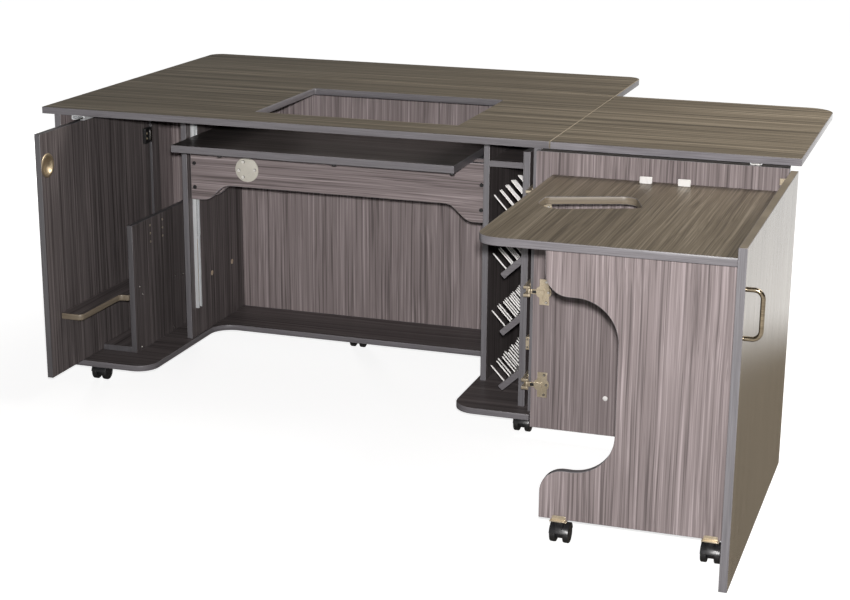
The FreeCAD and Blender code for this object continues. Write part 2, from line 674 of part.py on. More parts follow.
def caster(name, x, y, side, mount):
    """Twin-wheel caster below a mounting height: hood with stem, and the wheels on their axle."""
    wheel_y = y + side * CASTER_TRAIL
    half = WHEEL_GAP / 2
    total = half + WHEEL_W
    web_x = (x - half + SLIP, x + half - SLIP)
    cap_top = mount - PLATE_T - SWIVEL_GAP
    hub = rod((web_x[0], wheel_y, WHEEL_R), "x", HUB_R, web_x[1] - web_x[0])
    web = box(web_x, (y - WEB_HALF_Y, y + WEB_HALF_Y), (WEB_LOW, SWIVEL_CAP_LOW + PAST))
    shell = rod((x - total, wheel_y, WHEEL_R), "x", HOOD_R[1], 2 * total)
    shell = shell.cut(rod((x - total, wheel_y, WHEEL_R), "x", HOOD_R[0], 2 * total))
    shell = shell.common(box((x - total, x + total), (wheel_y - HOOD_R[1], wheel_y + HOOD_R[1]),
                             (HOOD_LOW, cap_top)))
    cap = rod((x, y, SWIVEL_CAP_LOW), "z", SWIVEL_CAP_R, cap_top - SWIVEL_CAP_LOW)
    stem = rod((x, y, SWIVEL_CAP_LOW), "z", STEM_R, mount - SWIVEL_GAP - SWIVEL_CAP_LOW)
    axle_hole = rod((x - total, wheel_y, WHEEL_R), "x", AXLE_R + RUN, 2 * total)
    export("caster_hood_" + name, hub.fuse([web, shell, cap, stem]).cut(axle_hole).removeSplitter())

    wheels = rod((x - half - PAST, wheel_y, WHEEL_R), "x", AXLE_R, WHEEL_GAP + 2 * PAST)
    for low in (x - total, x + half):
        wheel = rod((low, wheel_y, WHEEL_R), "x", WHEEL_R, WHEEL_W)
        rims = [e for e in wheel.Edges if isinstance(e.Curve, Part.Circle)]
        wheels = wheels.fuse(wheel.makeFillet(TYRE_ROUND, rims))
    export("caster_wheels_" + name, wheels.removeSplitter())


def caster_plate(x, y, mount):
    """Square fixing plate with the hole that the stem turns in."""
    half = PLATE_W / 2
    plate = box((x - half, x + half), (y - half, y + half), (mount - PLATE_T, mount))
    return plate.cut(rod((x, y, mount - PLATE_T), "z", STEM_R + RUN, PLATE_T))


def plate_lip(x):
    """Rounded lip of a side table's caster plate, on the face of the front panel."""
    width, thick, height = LIP_SIZE
    left, right = x - width / 2, x + width / 2
    low, high = FRONT_PANEL_LOW - PLATE_T, FRONT_PANEL_LOW + height
    outline = [(left, low, 0), (right, low, 0), (right, high, LIP_R), (left, high, LIP_R)]
    return prism(outline, "y", FRONT_PANEL_Y - thick, FRONT_PANEL_Y)


def casters():
    """Casters and plates of the base board and of the swing-out table."""
    for name, (x, y, side) in CABINET_CASTERS.items():
        caster(name, x, y, side, BASE_Z)
    export("caster_plates", *[caster_plate(x, y, BASE_Z) for x, y, _ in CABINET_CASTERS.values()])
    plates = []
    for name, (x, y, side) in WING_CASTERS.items():
        caster(name, x, y, side, FRONT_PANEL_LOW)
        plates.append(caster_plate(x, y, FRONT_PANEL_LOW).fuse(plate_lip(x)).removeSplitter())
    export("wing_caster_plates", *plates)


def butt_hinge(x):
    """Fixed and moving leaf of one drop leaf hinge below the seam."""
    y = MAIN_D + SEAM / 2
    z = UNDER_TOP - HINGE_DROP
    half, split = DROP_HINGE_HALF, KNUCKLE_SPLIT
    near, far = DROP_PLATE_Y
    plate_z = (UNDER_TOP - DROP_PLATE_T, UNDER_TOP)
    tab_z = (plate_z[0], plate_z[0] + DROP_TAB_T)
    across = (x - half, x + half)
    fixed = box(across, (y - far, y - near), plate_z)
    for low, high in ((x - half, x - split - SLIP), (x + split + SLIP, x + half)):
        tab = box((low, high), (y - near - PAST, y), tab_z)
        fixed = fixed.fuse([tab, rod((low, y, z), "x", KNUCKLE_R, high - low)])
    fixed = fixed.fuse(rod((x - half, y, z), "x", DROP_PIN_R, 2 * half)).removeSplitter()
    tab = box((x - split, x + split), (y, y + near + PAST), tab_z)
    eye = rod((x - split, y, z), "x", KNUCKLE_R, 2 * split)
    bore = rod((x - split - PAST, y, z), "x", DROP_PIN_R + RUN, 2 * (split + PAST))
    moving = box(across, (y + near, y + far), plate_z).fuse([tab, eye]).cut(bore).removeSplitter()
    return fixed, moving


def bracket_arm(x, pivot_y, pivot_z):
    """Arm under the drop leaf with the ear and pin that a strut hangs on."""
    under_arm = UNDER_TOP - ARM_T
    arm = box((x - ARM_HALF_W, x + ARM_HALF_W), (MAIN_D + ARM_Y[0], MAIN_D + ARM_Y[1]),
              (under_arm, UNDER_TOP))
    ear = prism([(pivot_y - 2 * STRUT_R, under_arm, 0), (pivot_y - STRUT_R, pivot_z - STRUT_R, STRUT_PIN_R),
                 (pivot_y + STRUT_R, pivot_z - STRUT_R, STRUT_PIN_R), (pivot_y + 2 * STRUT_R, under_arm, 0)],
                "x", x - EAR_T / 2, x + EAR_T / 2)
    pin = rod((x - EAR_T / 2, pivot_y, pivot_z), "x", STRUT_PIN_R, EAR_T + 2 * STRUT_T)
    return arm.fuse([ear, pin]).removeSplitter()


def strut(low_x, pivot_y, pivot_z):
    """Flat strut that leans down from its pin at 45 degrees to the track on the back panel."""
    length = (pivot_y - STRUT_BACK_Y) * math.sqrt(2)
    bar = box((low_x, low_x + STRUT_T), (pivot_y, pivot_y + length), (pivot_z - STRUT_R, pivot_z + STRUT_R))
    ends = [rod((low_x, pivot_y + d, pivot_z), "x", STRUT_R, STRUT_T) for d in (0, length)]
    hole = rod((low_x, pivot_y, pivot_z), "x", STRUT_PIN_R + RUN, STRUT_T)
    solid = bar.fuse(ends).removeSplitter().cut(hole)
    solid.rotate(FreeCAD.Vector(low_x, pivot_y, pivot_z), AXES["x"], STRUT_LEAN)
    return solid


def strut_track(middle_x):
    """Channel on the back panel that the strut's lower end runs down as the leaf drops."""
    half, depth, wall = STRUT_TRACK_HALF, STRUT_TRACK_DEPTH, STRUT_TRACK_WALL
    rear = (BACK_REAR_Y, BACK_REAR_Y + depth)
    channel = box((middle_x - half, middle_x + half), rear, STRUT_TRACK_Z)
    hollow = box((middle_x - half + wall, middle_x + half - wall), (rear[0] + wall, rear[1] + PAST),
                 (STRUT_TRACK_Z[0] - PAST, STRUT_TRACK_Z[1] + PAST))
    return channel.cut(hollow)


def drop_leaf_support():
    """Hinges below the rear seam, bracket arms on the leaf, struts and their tracks."""
    hinges = [butt_hinge(x) for x in DROP_HINGE_X]
    fixed = [h[0] for h in hinges]
    moving = [h[1] for h in hinges]
    struts = []
    pivot_y = MAIN_D + STRUT_OUT
    pivot_z = UNDER_TOP - STRUT_DROP
    for x in BRACKET_X:
        low_x = x + EAR_T / 2 + PAST
        moving.append(bracket_arm(x, pivot_y, pivot_z))
        struts.append(strut(low_x, pivot_y, pivot_z))
        fixed.append(strut_track(low_x + STRUT_T / 2))
    export("drop_hinge_fixed", *fixed)
    export("drop_hinge_moving", *moving)
    export("leaf_struts", *struts)


def main():
    """Build every sub-assembly and write its nodes."""
    os.makedirs("parts", exist_ok=True)
    worktops()
    carcass()
    storage_bay()
    pocket_door()
    thread_rack()
    machine_lift()
    side_table()
    casters()
    drop_leaf_support()


main()
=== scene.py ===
"""Looks of a sewing cabinet with folding worktops, a machine lift and a swing-out side table."""

import json
import logging
import math
from dataclasses import dataclass
from enum import Enum

import bmesh
import bpy
from mathutils import Matrix, Vector


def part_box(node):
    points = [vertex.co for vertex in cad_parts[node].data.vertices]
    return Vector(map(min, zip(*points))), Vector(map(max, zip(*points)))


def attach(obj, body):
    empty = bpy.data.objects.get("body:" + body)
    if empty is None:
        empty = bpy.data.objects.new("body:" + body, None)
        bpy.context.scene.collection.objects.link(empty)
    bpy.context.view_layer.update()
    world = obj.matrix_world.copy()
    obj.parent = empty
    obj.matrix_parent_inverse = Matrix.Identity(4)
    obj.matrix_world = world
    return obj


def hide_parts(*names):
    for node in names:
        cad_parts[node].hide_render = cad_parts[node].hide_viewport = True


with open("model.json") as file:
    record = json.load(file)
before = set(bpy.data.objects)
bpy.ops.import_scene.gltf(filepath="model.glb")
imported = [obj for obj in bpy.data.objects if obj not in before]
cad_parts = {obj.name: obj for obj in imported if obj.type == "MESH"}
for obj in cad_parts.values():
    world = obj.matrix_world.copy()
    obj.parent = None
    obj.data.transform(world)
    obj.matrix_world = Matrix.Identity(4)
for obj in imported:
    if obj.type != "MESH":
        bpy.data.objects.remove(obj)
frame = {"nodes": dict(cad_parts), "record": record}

LOG = logging.getLogger("sewing_cabinet")
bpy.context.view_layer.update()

Colour = tuple[float, float, float, float]
Shade = tuple[int, int, int]
Outline = list[tuple[float, float]]
Spot = tuple[Vector, Vector]
Tree, Node, Socket = bpy.types.NodeTree, bpy.types.Node, bpy.types.NodeSocket
Material, Piece, Mesh = bpy.types.Material, bpy.types.Object, bmesh.types.BMesh
Sockets = dict[str, Socket]

# The point on the floor below the front left corner of the main top
CORNER = Vector((*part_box("main_top")[0].xy, 0.0))
X_AXIS, Y_AXIS, Z_AXIS = Vector((1, 0, 0)), Vector((0, 1, 0)), Vector((0, 0, 1))

# Points closer than this are one point, and faces turned less than this are one face
WELD = 5e-6
FLAT = math.radians(0.6)
SHARP = math.radians(32)
# How far a small fitting is sunk into the face that it sits on
PROUD = 0.0002

VECTOR, COLOUR, NUMBER = "NodeSocketVector", "NodeSocketColor", "NodeSocketFloat"
GEOMETRY, FINISH = "NodeSocketGeometry", "NodeSocketMaterial"
LOOK = {"Color": COLOUR, "Roughness": NUMBER, "Height": NUMBER}
WHITE = (1.0, 1.0, 1.0, 1.0)


def at(x: float, y: float, z: float) -> Vector:
    """Point of the frame from metres right of, behind and above the cabinet's corner."""
    return CORNER + Vector((x, y, z))


def srgb(*levels: int) -> Colour:
    """Linear colour of an 8-bit display colour."""
    parts = [level / 255 for level in levels]
    return (*(p / 12.92 if p <= 0.04045 else ((p + 0.055) / 1.055) ** 2.4 for p in parts), 1.0)


class NodeSketch:
    """Adds nodes to one tree and joins them."""

    def __init__(self, tree: Tree) -> None:
        """Keep the tree that the nodes go into."""
        self.tree = tree

    def node(self, kind: str, inputs: dict | None = None, **settings: object) -> Node:
        """Add a node with its properties and inputs.

        Args:
            kind: Blender's type name of the node.
            inputs: Plain values or output sockets, by input name or index.
            settings: Properties of the node, such as its operation.

        Returns:
            The new node.
        """
        node = self.tree.nodes.new(kind)
        for key, value in settings.items():
            setattr(node, key, value)
        for key, value in (inputs or {}).items():
            if isinstance(value, Socket):
                self.tree.links.new(value, node.inputs[key])
            else:
                node.inputs[key].default_value = value
        return node

    def out(self, kind: str, inputs: dict | None = None, **settings: object) -> Socket:
        """First output of a new node."""
        return self.node(kind, inputs, **settings).outputs[0]

    def math(self, operation: str, *values: object) -> Socket:
        """Result of a maths node on sockets or numbers."""
        return self.out("ShaderNodeMath", dict(enumerate(values)), operation=operation)

    def vector(self, operation: str, *values: object) -> Socket:
        """Result of a vector maths node on sockets or triples."""
        return self.out("ShaderNodeVectorMath", dict(enumerate(values)), operation=operation)

    def xyz(self, *values: object) -> Socket:
        """Vector of three sockets or numbers."""
        return self.out("ShaderNodeCombineXYZ", dict(enumerate(values)))

    def blend(self, share: object, first: object, second: object) -> Socket:
        """Colour between two others.

        Args:
            share: Share of the second colour, as a socket or number.
            first: Colour at a share of 0.
            second: Colour at a share of 1.

        Returns:
            The mixed colour.
        """
        return self.node("ShaderNodeMix", {0: share, 6: first, 7: second}, data_type="RGBA").outputs[2]

    def noise(self, vector: object, scale: tuple, detail: float, rough: float = 0.5) -> Socket:
        """Fractal noise on a vector that is first stretched.

        Args:
            vector: Socket with the position in metres.
            scale: Features per metre along each axis.
            detail: Octaves of the noise.
            rough: Share that each octave keeps of the one before.

        Returns:
            Noise from 0 to 1.
        """
        stretched = self.vector("MULTIPLY", vector, scale)
        return self.out("ShaderNodeTexNoise", {"Vector": stretched, "Scale": 1.0, "Detail": detail,
                                               "Roughness": rough})

    def steps(self, value: object, low: float, high: float) -> Socket:
        """Smooth rise from 0 to 1 as a value goes from low to high."""
        return self.out("ShaderNodeMapRange", {0: value, 1: low, 2: high}, interpolation_type="SMOOTHSTEP")


def new_tree(name: str, kind: str, inputs: dict[str, str],
             outputs: dict[str, str]) -> tuple[NodeSketch, Sockets]:
    """Empty node group with named sockets.

    Args:
        name: Name of the group.
        kind: Blender's type name of the tree.
        inputs: Socket types by input name.
        outputs: Socket types by output name.

    Returns:
        The group's sketch and its inputs by name.
    """
    tree = bpy.data.node_groups.new(name, kind)
    for way, sockets in (("INPUT", inputs), ("OUTPUT", outputs)):
        for label, socket in sockets.items():
            tree.interface.new_socket(label, in_out=way, socket_type=socket)
    sketch = NodeSketch(tree)
    return sketch, sketch.node("NodeGroupInput").outputs


def look_group(name: str, colours: tuple, *numbers: str) -> tuple[NodeSketch, Sockets]:
    """Shader group that puts out a look from a vector, colours and numbers that it is given."""
    inputs = {"Vector": VECTOR, **dict.fromkeys(colours, COLOUR), **dict.fromkeys(numbers, NUMBER)}
    return new_tree(name, "ShaderNodeTree", inputs, LOOK)


def close_group(sketch: NodeSketch, *look: Socket) -> Tree:
    """Join a group's colour, roughness and height to its outputs."""
    sketch.node("NodeGroupOutput", dict(zip(LOOK, look)))
    return sketch.tree


# Features per metre across and along the printed grain
SWAY, BANDS, STRIPES = (9.0, 9.0, 2.2), (26.0, 26.0, 0.5), (150.0, 150.0, 1.2)
LINES, PORES = (380.0, 380.0, 2.8), (520.0, 520.0, 9.0)
SWAY_REACH = 0.012
# Even features per metre of the other two looks
EVEN, SMUDGE, PIMPLES, SCUFFS = (1.0,) * 3, (0.06,) * 3, (1800.0,) * 3, (70.0,) * 3


def wood_grain_group() -> Tree:
    """Printed wood: faint bands, straight streaks and fine dark pores that run along Z.

    Returns:
        The shader group.
    """
    sketch, given = look_group("wood_grain", ("Dark", "Mid", "Light"), "Gloss")
    sway = sketch.math("SUBTRACT", sketch.noise(given["Vector"], SWAY, 1.0), 0.5)
    shift = sketch.math("MULTIPLY", sway, SWAY_REACH)
    place = sketch.vector("ADD", given["Vector"], sketch.xyz(shift, shift, 0.0))
    streaks = sketch.math("MULTIPLY", sketch.noise(place, STRIPES, 2.0), 0.58)
    tone = sketch.math("MULTIPLY_ADD", sketch.noise(place, BANDS, 1.0), 0.24, streaks)
    tone = sketch.math("MULTIPLY_ADD", sketch.noise(place, LINES, 2.0, 0.6), 0.54, tone)
    colour = sketch.blend(sketch.steps(tone, 0.50, 0.70), given["Dark"], given["Mid"])
    colour = sketch.blend(sketch.steps(tone, 0.68, 0.88), colour, given["Light"])
    pores = sketch.steps(sketch.noise(place, PORES, 1.0), 0.34, 0.24)
    colour = sketch.blend(sketch.math("MULTIPLY", pores, 0.6), colour, given["Dark"])
    uneven = sketch.math("MULTIPLY_ADD", sketch.math("SUBTRACT", tone, 0.68), -0.20, given["Gloss"])
    return close_group(sketch, colour, uneven, sketch.math("SUBTRACT", tone, pores))


def streak_group() -> Tree:
    """Fine parallel streaks of two colours, on a vector that the material stretches.

    Returns:
        The shader group.
    """
    sketch, given = look_group("streaks", ("Low", "High"), "Gloss", "Spread")
    lines = sketch.noise(given["Vector"], EVEN, 3.0, 0.6)
    smudge = sketch.noise(given["Vector"], SMUDGE, 2.0)
    tone = sketch.steps(sketch.math("MULTIPLY_ADD", smudge, 0.35, lines), 0.42, 0.92)
    swing = sketch.math("MULTIPLY", sketch.math("SUBTRACT", lines, 0.5), given["Spread"])
    colour = sketch.blend(tone, given["Low"], given["High"])
    return close_group(sketch, colour, sketch.math("ADD", given["Gloss"], swing), lines)


def moulded_group() -> Tree:
    """Moulded surface: fine even grain, with faint scuffs that dull it.

    Returns:
        The shader group.
    """
    sketch, given = look_group("moulded", ("Body", "Scuff"), "Gloss")
    scuffs = sketch.steps(sketch.noise(given["Vector"], SCUFFS, 4.0, 0.65), 0.5, 0.78)
    colour = sketch.blend(scuffs, given["Body"], given["Scuff"])
    dulled = sketch.math("MULTIPLY_ADD", scuffs, 0.16, given["Gloss"])
    return close_group(sketch, colour, dulled, sketch.noise(given["Vector"], PIMPLES, 1.0))


class Grain(Enum):
    """Way a pattern runs, as the turn that brings it onto the pattern's own Z axis."""

    UPRIGHT = (0.0, 0.0, 0.0)
    ACROSS = (0.0, math.pi / 2, 0.0)
    DEEP = (math.pi / 2, 0.0, 0.0)


class Streaks(Enum):
    """Streaks per metre along X, Y and Z of an edge band or a brushed metal."""

    LEVEL = (9.0, 9.0, 900.0)
    UPRIGHT = (900.0, 900.0, 9.0)
    FINE = (700.0, 700.0, 700.0)


BUMP_STRENGTH = 0.6


def surface(name: str, group: Tree, values: dict, turn: tuple, scale: tuple, bump: float,
            fixed: dict) -> Material:
    """Material whose shader takes its colour, roughness and bump from one shared group.

    Args:
        name: Name of the material.
        group: Shader group that puts out a colour, a roughness and a height.
        values: The group's inputs apart from its vector.
        turn: Rotation of the pattern.
        scale: Stretch of the pattern.
        bump: Depth of the relief in metres.
        fixed: Plain values of the shader's own sockets.

    Returns:
        The material.
    """
    material = bpy.data.materials.new(name)
    material.use_nodes = True
    sketch = NodeSketch(material.node_tree)
    shader = material.node_tree.nodes["Principled BSDF"]
    place = sketch.node("ShaderNodeTexCoord").outputs["Object"]
    mapped = sketch.out("ShaderNodeMapping", {"Vector": place, "Rotation": turn, "Scale": scale})
    pattern = sketch.node("ShaderNodeGroup", node_tree=group)
    for label, value in values.items():
        pattern.inputs[label].default_value = value
    relief = sketch.out("ShaderNodeBump", {"Height": pattern.outputs["Height"], "Strength": BUMP_STRENGTH,
                                           "Distance": bump})
    for start, end in ((mapped, pattern.inputs["Vector"]),
                       (pattern.outputs["Color"], shader.inputs["Base Color"]),
                       (pattern.outputs["Roughness"], shader.inputs["Roughness"]),
                       (relief, shader.inputs["Normal"])):
        material.node_tree.links.new(start, end)
    for label, value in fixed.items():
        shader.inputs[label].default_value = value
    return material


@dataclass(frozen=True)
class Laminate:
    """Wood-print laminate on a board's broad faces."""

    name: str
    dark: Shade
    mid: Shade
    light: Shade
    gloss: float
    specular: float
    figure: float = 1.0
    bump: float = 0.00012

    def material(self, group: Tree, grain: Grain) -> Material:
        """Material with the grain along one direction."""
        values = {"Dark": srgb(*self.dark), "Mid": srgb(*self.mid), "Light": srgb(*self.light),
                  "Gloss": self.gloss}
        return surface(f"{self.name}_{grain.name.lower()}", group, values, grain.value, (self.figure,) * 3,
                       self.bump, {"Specular IOR Level": self.specular})


@dataclass(frozen=True)
class Streaked:
    """Edge band or metal with fine streaks of two close colours."""

    name: str
    low: Shade
    high: Shade
    gloss: float
    streaks: Streaks
    spread: float = 0.10
    metallic: float = 0.0
    bump: float = 0.00004

    def material(self, group: Tree) -> Material:
        """Material of this finish on the shared streak group."""
        values = {"Low": srgb(*self.low), "High": srgb(*self.high), "Gloss": self.gloss,
                  "Spread": self.spread}
        return surface(self.name, group, values, Grain.UPRIGHT.value, self.streaks.value, self.bump,
                       {"Metallic": self.metallic})


@dataclass(frozen=True)
class Moulded:
    """Plastic, rubber or paint with a fine moulded grain."""

    name: str
    body: Shade
    scuff: Shade
    gloss: float
    bump: float = 0.00003

    def material(self, group: Tree) -> Material:
        """Material of this finish on the shared moulded group."""
        values = {"Body": srgb(*self.body), "Scuff": srgb(*self.scuff), "Gloss": self.gloss}
        return surface(self.name, group, values, Grain.UPRIGHT.value, EVEN, self.bump, {"Metallic": 0.0})


class Finishes:
    """Every material of the cabinet, made once."""

    def __init__(self) -> None:
        """Build the shared groups and each material on them."""
        grain, streaks, moulded = wood_grain_group(), streak_group(), moulded_group()
        panel = Laminate("panel_laminate", (90, 82, 82), (128, 118, 118), (160, 149, 150), 0.42, 0.12)
        # inside: a darker copy of the panel laminate, painted shade for the boards inside the cabinet and for
        # the door
        inside = Laminate("shaded_inside_laminate", (58, 53, 53), (90, 84, 84), (118, 110, 110), 0.34, 0.08)
        top = Laminate("top_laminate", (56, 49, 39), (103, 93, 78), (150, 138, 121), 0.40, 0.24, 0.7)
        table = Laminate("table_laminate", (76, 68, 57), (106, 96, 82), (136, 126, 111), 0.36, 0.24, 1.15)
        # side: a darker, browner copy of the panel laminate for the wing's side panel, painted shade and
        # painted reflection of the floor beside it; its shine is its own
        side = Laminate("side_laminate", (76, 68, 58), (102, 93, 80), (122, 112, 99), 0.15, 0.50)
        # platform: a still darker copy of the inside laminate, painted shade for the lift platform under the
        # main top
        platform = Laminate("shaded_platform_laminate", (40, 37, 37), (64, 60, 60), (86, 81, 81), 0.34, 0.08)
        self.panel_upright = panel.material(grain, Grain.UPRIGHT)
        self.panel_across = panel.material(grain, Grain.ACROSS)
        self.shaded_inside_upright = inside.material(grain, Grain.UPRIGHT)
        self.shaded_inside_across = inside.material(grain, Grain.ACROSS)
        self.shaded_inside_deep = inside.material(grain, Grain.DEEP)
        self.side_upright = side.material(grain, Grain.UPRIGHT)
        self.top_across = top.material(grain, Grain.ACROSS)
        self.table_deep = table.material(grain, Grain.DEEP)
        self.shaded_platform_across = platform.material(grain, Grain.ACROSS)

        def streaked(*values: object) -> Material:
            """Material of one streaked finish."""
            return Streaked(*values).material(streaks)

        def smooth(*values: object) -> Material:
            """Material of one moulded finish."""
            return Moulded(*values).material(moulded)

        level, upright, fine = Streaks.LEVEL, Streaks.UPRIGHT, Streaks.FINE
        self.edge_level = streaked("edge_band_level", (90, 87, 90), (116, 113, 117), 0.30, level)
        # A lighter copy of the level band for the right leaf's edges: painted light
        self.edge_leaf_lit = streaked("edge_band_leaf_lit", (110, 107, 111), (142, 139, 144), 0.10, level, 0.06)
        self.edge_upright = streaked("edge_band_upright", (88, 86, 89), (114, 112, 116), 0.34, upright)
        # A darker copy of the upright band for the inner boards, the door and the rear leaf: painted shade
        self.edge_shaded = streaked("edge_band_shaded", (70, 68, 70), (92, 90, 93), 0.36, upright)
        # Brown band: the shelf's edges and the table slot's walls, and painted warm light on the wing side
        # panel's top edge
        self.edge_brown = streaked("edge_band_brown", (104, 94, 80), (128, 117, 101), 0.42, level)
        # Lighter streaks for the rounded arrises: painted highlight along the boards' edges
        self.arris_highlight_line = streaked("arris_highlight_line", (98, 95, 97), (128, 125, 128), 0.40, fine)
        self.seam_line = streaked("seam_line", (126, 115, 99), (150, 139, 122), 0.50, fine)
        zinc = ((200, 203, 206), (234, 236, 238), 0.32)
        self.zinc = streaked("zinc_plate", *zinc, upright, 0.18, 0.4)
        self.zinc_level = streaked("zinc_plate_level", *zinc, level, 0.18, 0.4)
        self.nickel = streaked("nickel_plate", (176, 162, 138), (216, 203, 180), 0.34, fine, 0.20, 0.7)
        self.screw_steel = streaked("screw_steel", (196, 194, 190), (236, 234, 230), 0.26, fine, 0.12, 1.0)
        # The wing pull's nickel is darkened: painted reflection of a dark room
        self.satin_nickel = streaked("satin_nickel", (100, 90, 75), (142, 131, 113), 0.20, level, 0.12, 1.0)
        self.bronze = streaked("bronze", (190, 172, 142), (226, 210, 182), 0.42, fine, 0.12, 1.0)
        self.disc_paint = streaked("disc_plate", (184, 180, 170), (206, 202, 192), 0.42, fine, 0.12, 0.2)
        self.black_steel = smooth("black_steel", (26, 26, 27), (40, 40, 41), 0.42)
        self.black_plastic = smooth("black_plastic", (30, 30, 32), (52, 52, 54), 0.34)
        self.white_plastic = smooth("white_plastic", (224, 222, 220), (206, 203, 198), 0.40)
        self.tyre = smooth("tyre_rubber", (24, 24, 25), (48, 47, 46), 0.55)
        self.plug_beige = smooth("plug_beige", (186, 166, 144), (160, 140, 118), 0.5)
        # Near-black for the strip in the gap under the leaf: painted shade
        self.painted_gap_shade = smooth("painted_gap_shade", (28, 24, 22), (44, 38, 34), 0.8)


def link(name: str, data: bpy.types.ID) -> Piece:
    """Object at the origin that holds a mesh, lamp or camera.

    Args:
        name: Name of the object.
        data: What it holds.

    Returns:
        The linked object.
    """
    piece = bpy.data.objects.new(name, data)
    bpy.context.scene.collection.objects.link(piece)
    return piece


def new_piece(name: str, mesh: Mesh, materials: list[Material]) -> Piece:
    """Object at the origin from a finished bmesh.

    Args:
        name: Name of the piece.
        mesh: Mesh in place, which is freed.
        materials: Materials in the order of the faces' indices.

    Returns:
        The linked object.
    """
    data = bpy.data.meshes.new(name)
    mesh.to_mesh(data)
    mesh.free()
    for material in materials:
        data.materials.append(material)
    return link(name, data)


def settle(piece: Piece, body: str, slot: str, *nodes: str) -> None:
    """Let a finished piece ride on its body.

    Args:
        piece: The piece, in place.
        body: Body that it moves with.
        slot: Material slot of the record; not used.
        nodes: Solids that it stands for.
    """
    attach(piece, body)
    if nodes:
        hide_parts(*nodes)
    LOG.info("%s on %s, %d faces", piece.name, body, len(piece.data.polygons))


def fit(name: str, mesh: Mesh, finish: Material, body: str, slot: str, *nodes: str) -> None:
    """Settle a finished mesh of one material as a piece."""
    settle(new_piece(name, mesh, [finish]), body, slot, *nodes)


def body_of(node: str) -> str:
    """Body that a solid belongs to."""
    bodies = frame["record"]["behaviour"]["bodies"]
    return next(body for body, nodes in bodies.items() if node in nodes)


def slot_of(node: str) -> str:
    """Material slot of a solid in the record."""
    return next(part["material_slot"] for part in frame["record"]["subparts"] if part["node"] == node)


def solid_copy(node: str) -> Mesh:
    """Merged copy of a solid, with the triangles of each flat face joined.

    Args:
        node: The solid.

    Returns:
        The copy.
    """
    mesh = bmesh.new()
    mesh.from_mesh(frame["nodes"][node].data)
    bmesh.ops.remove_doubles(mesh, verts=mesh.verts, dist=WELD)
    bmesh.ops.dissolve_limit(mesh, angle_limit=FLAT, verts=mesh.verts, edges=mesh.edges)
    return mesh


def islands(node: str) -> list[Spot]:
    """Boxes of the separate solids of a node, from left to right.

    Args:
        node: The node.

    Returns:
        Lowest and highest corner of each solid.
    """
    mesh = solid_copy(node)
    left = set(mesh.verts)
    boxes = []
    while left:
        group, front = set(), [left.pop()]
        while front:
            vert = front.pop()
            group.add(vert)
            near = {edge.other_vert(vert) for edge in vert.link_edges} & left
            left -= near
            front.extend(near)
        spread = [[vert.co[i] for vert in group] for i in range(3)]
        boxes.append((Vector(map(min, spread)), Vector(map(max, spread))))
    mesh.free()
    return sorted(boxes, key=lambda box: tuple(round(v, 4) for v in box[0]))


OWN = -1


def soften(mesh: Mesh, width: float, line: int = OWN) -> None:
    """Round a mesh's sharp edges a little, and shade its curved faces smoothly.

    Args:
        mesh: Mesh with joined flat faces.
        width: Width of the rounding, or 0 for none.
        line: Material index of the rounded faces, or OWN for their neighbours'.
    """
    for face in mesh.faces:
        turns = [edge.calc_face_angle(0.0) for edge in face.edges]
        face.smooth = any(FLAT < turn < SHARP for turn in turns)
    sharp = [edge for edge in mesh.edges if edge.calc_face_angle(0.0) >= SHARP]
    if width > 0:
        arrises = bmesh.ops.bevel(mesh, geom=sharp, offset=width, offset_type="OFFSET", segments=2,
                                  profile=0.5, affect="EDGES", clamp_overlap=False, material=line)
        for face in arrises["faces"]:
            face.smooth = True


def broad_axis(mesh: Mesh) -> Vector:
    """Direction that a board's broad faces look along.

    Args:
        mesh: Mesh of the board.

    Returns:
        The direction, with a length of 1.
    """
    areas: dict[tuple, float] = {}
    for face in mesh.faces:
        normal = face.normal if face.normal.dot(Vector((0.3, 0.5, 0.8))) > 0 else -face.normal
        key = tuple(round(v, 2) for v in normal)
        areas[key] = areas.get(key, 0.0) + face.calc_area()
    return Vector(max(areas, key=areas.get)).normalized()


# Material indices of a board's faces, and the cosines that tell how a face looks
FACE, EDGE, LINE, INNER, SEAM = range(5)
ALONG, ACROSS, DOWN = 0.9, 0.5, -0.3


@dataclass(frozen=True)
class Board:
    """A laminated board: printed broad faces, banded edges and a fine lighter line on the rounded arrises
    where they meet, a painted highlight.
    """

    node: str
    face: Material
    edge: Material
    line: Material
    inner: Material | None = None
    upper: Material | None = None
    seam: Material | None = None
    seams: tuple = ()
    rounding: float = 0.0009
    inner_from: float = 0.025
    seam_reach: float = 0.003

    def build(self) -> None:
        """Dress a copy of the board's solid and let it stand for the solid."""
        mesh = solid_copy(self.node)
        axis = broad_axis(mesh)
        low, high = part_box(self.node)
        for face in mesh.faces:
            face.material_index = FACE if abs(face.normal.dot(axis)) > ALONG else EDGE
            if face.material_index and self.inner:
                middle = face.calc_center_median()
                depth = min(min(middle[i] - low[i], high[i] - middle[i])
                            for i in range(3) if abs(axis[i]) < ACROSS)
                face.material_index = INNER if depth > self.inner_from else EDGE
            # Upward-facing edge faces can take their own material: painted warm light from above on a board's
            # top edge
            if face.material_index and self.upper and face.normal.z > ALONG:
                face.material_index = INNER
        soften(mesh, self.rounding, LINE)
        for face in mesh.faces:
            if face.material_index != LINE:
                continue
            middle = face.calc_center_median()
            # Arrises that face down keep the edge band, so the painted highlight line stays on arrises that
            # face the light
            if face.normal.z < DOWN:
                face.material_index = EDGE
            elif any(abs(middle[i] - place) < self.seam_reach for i, place in self.seams):
                face.material_index = SEAM
        materials = [self.face, self.edge, self.line, self.inner or self.upper or self.edge,
                     self.seam or self.line]
        piece = new_piece(self.node + "_board", mesh, materials)
        settle(piece, body_of(self.node), slot_of(self.node), self.node)


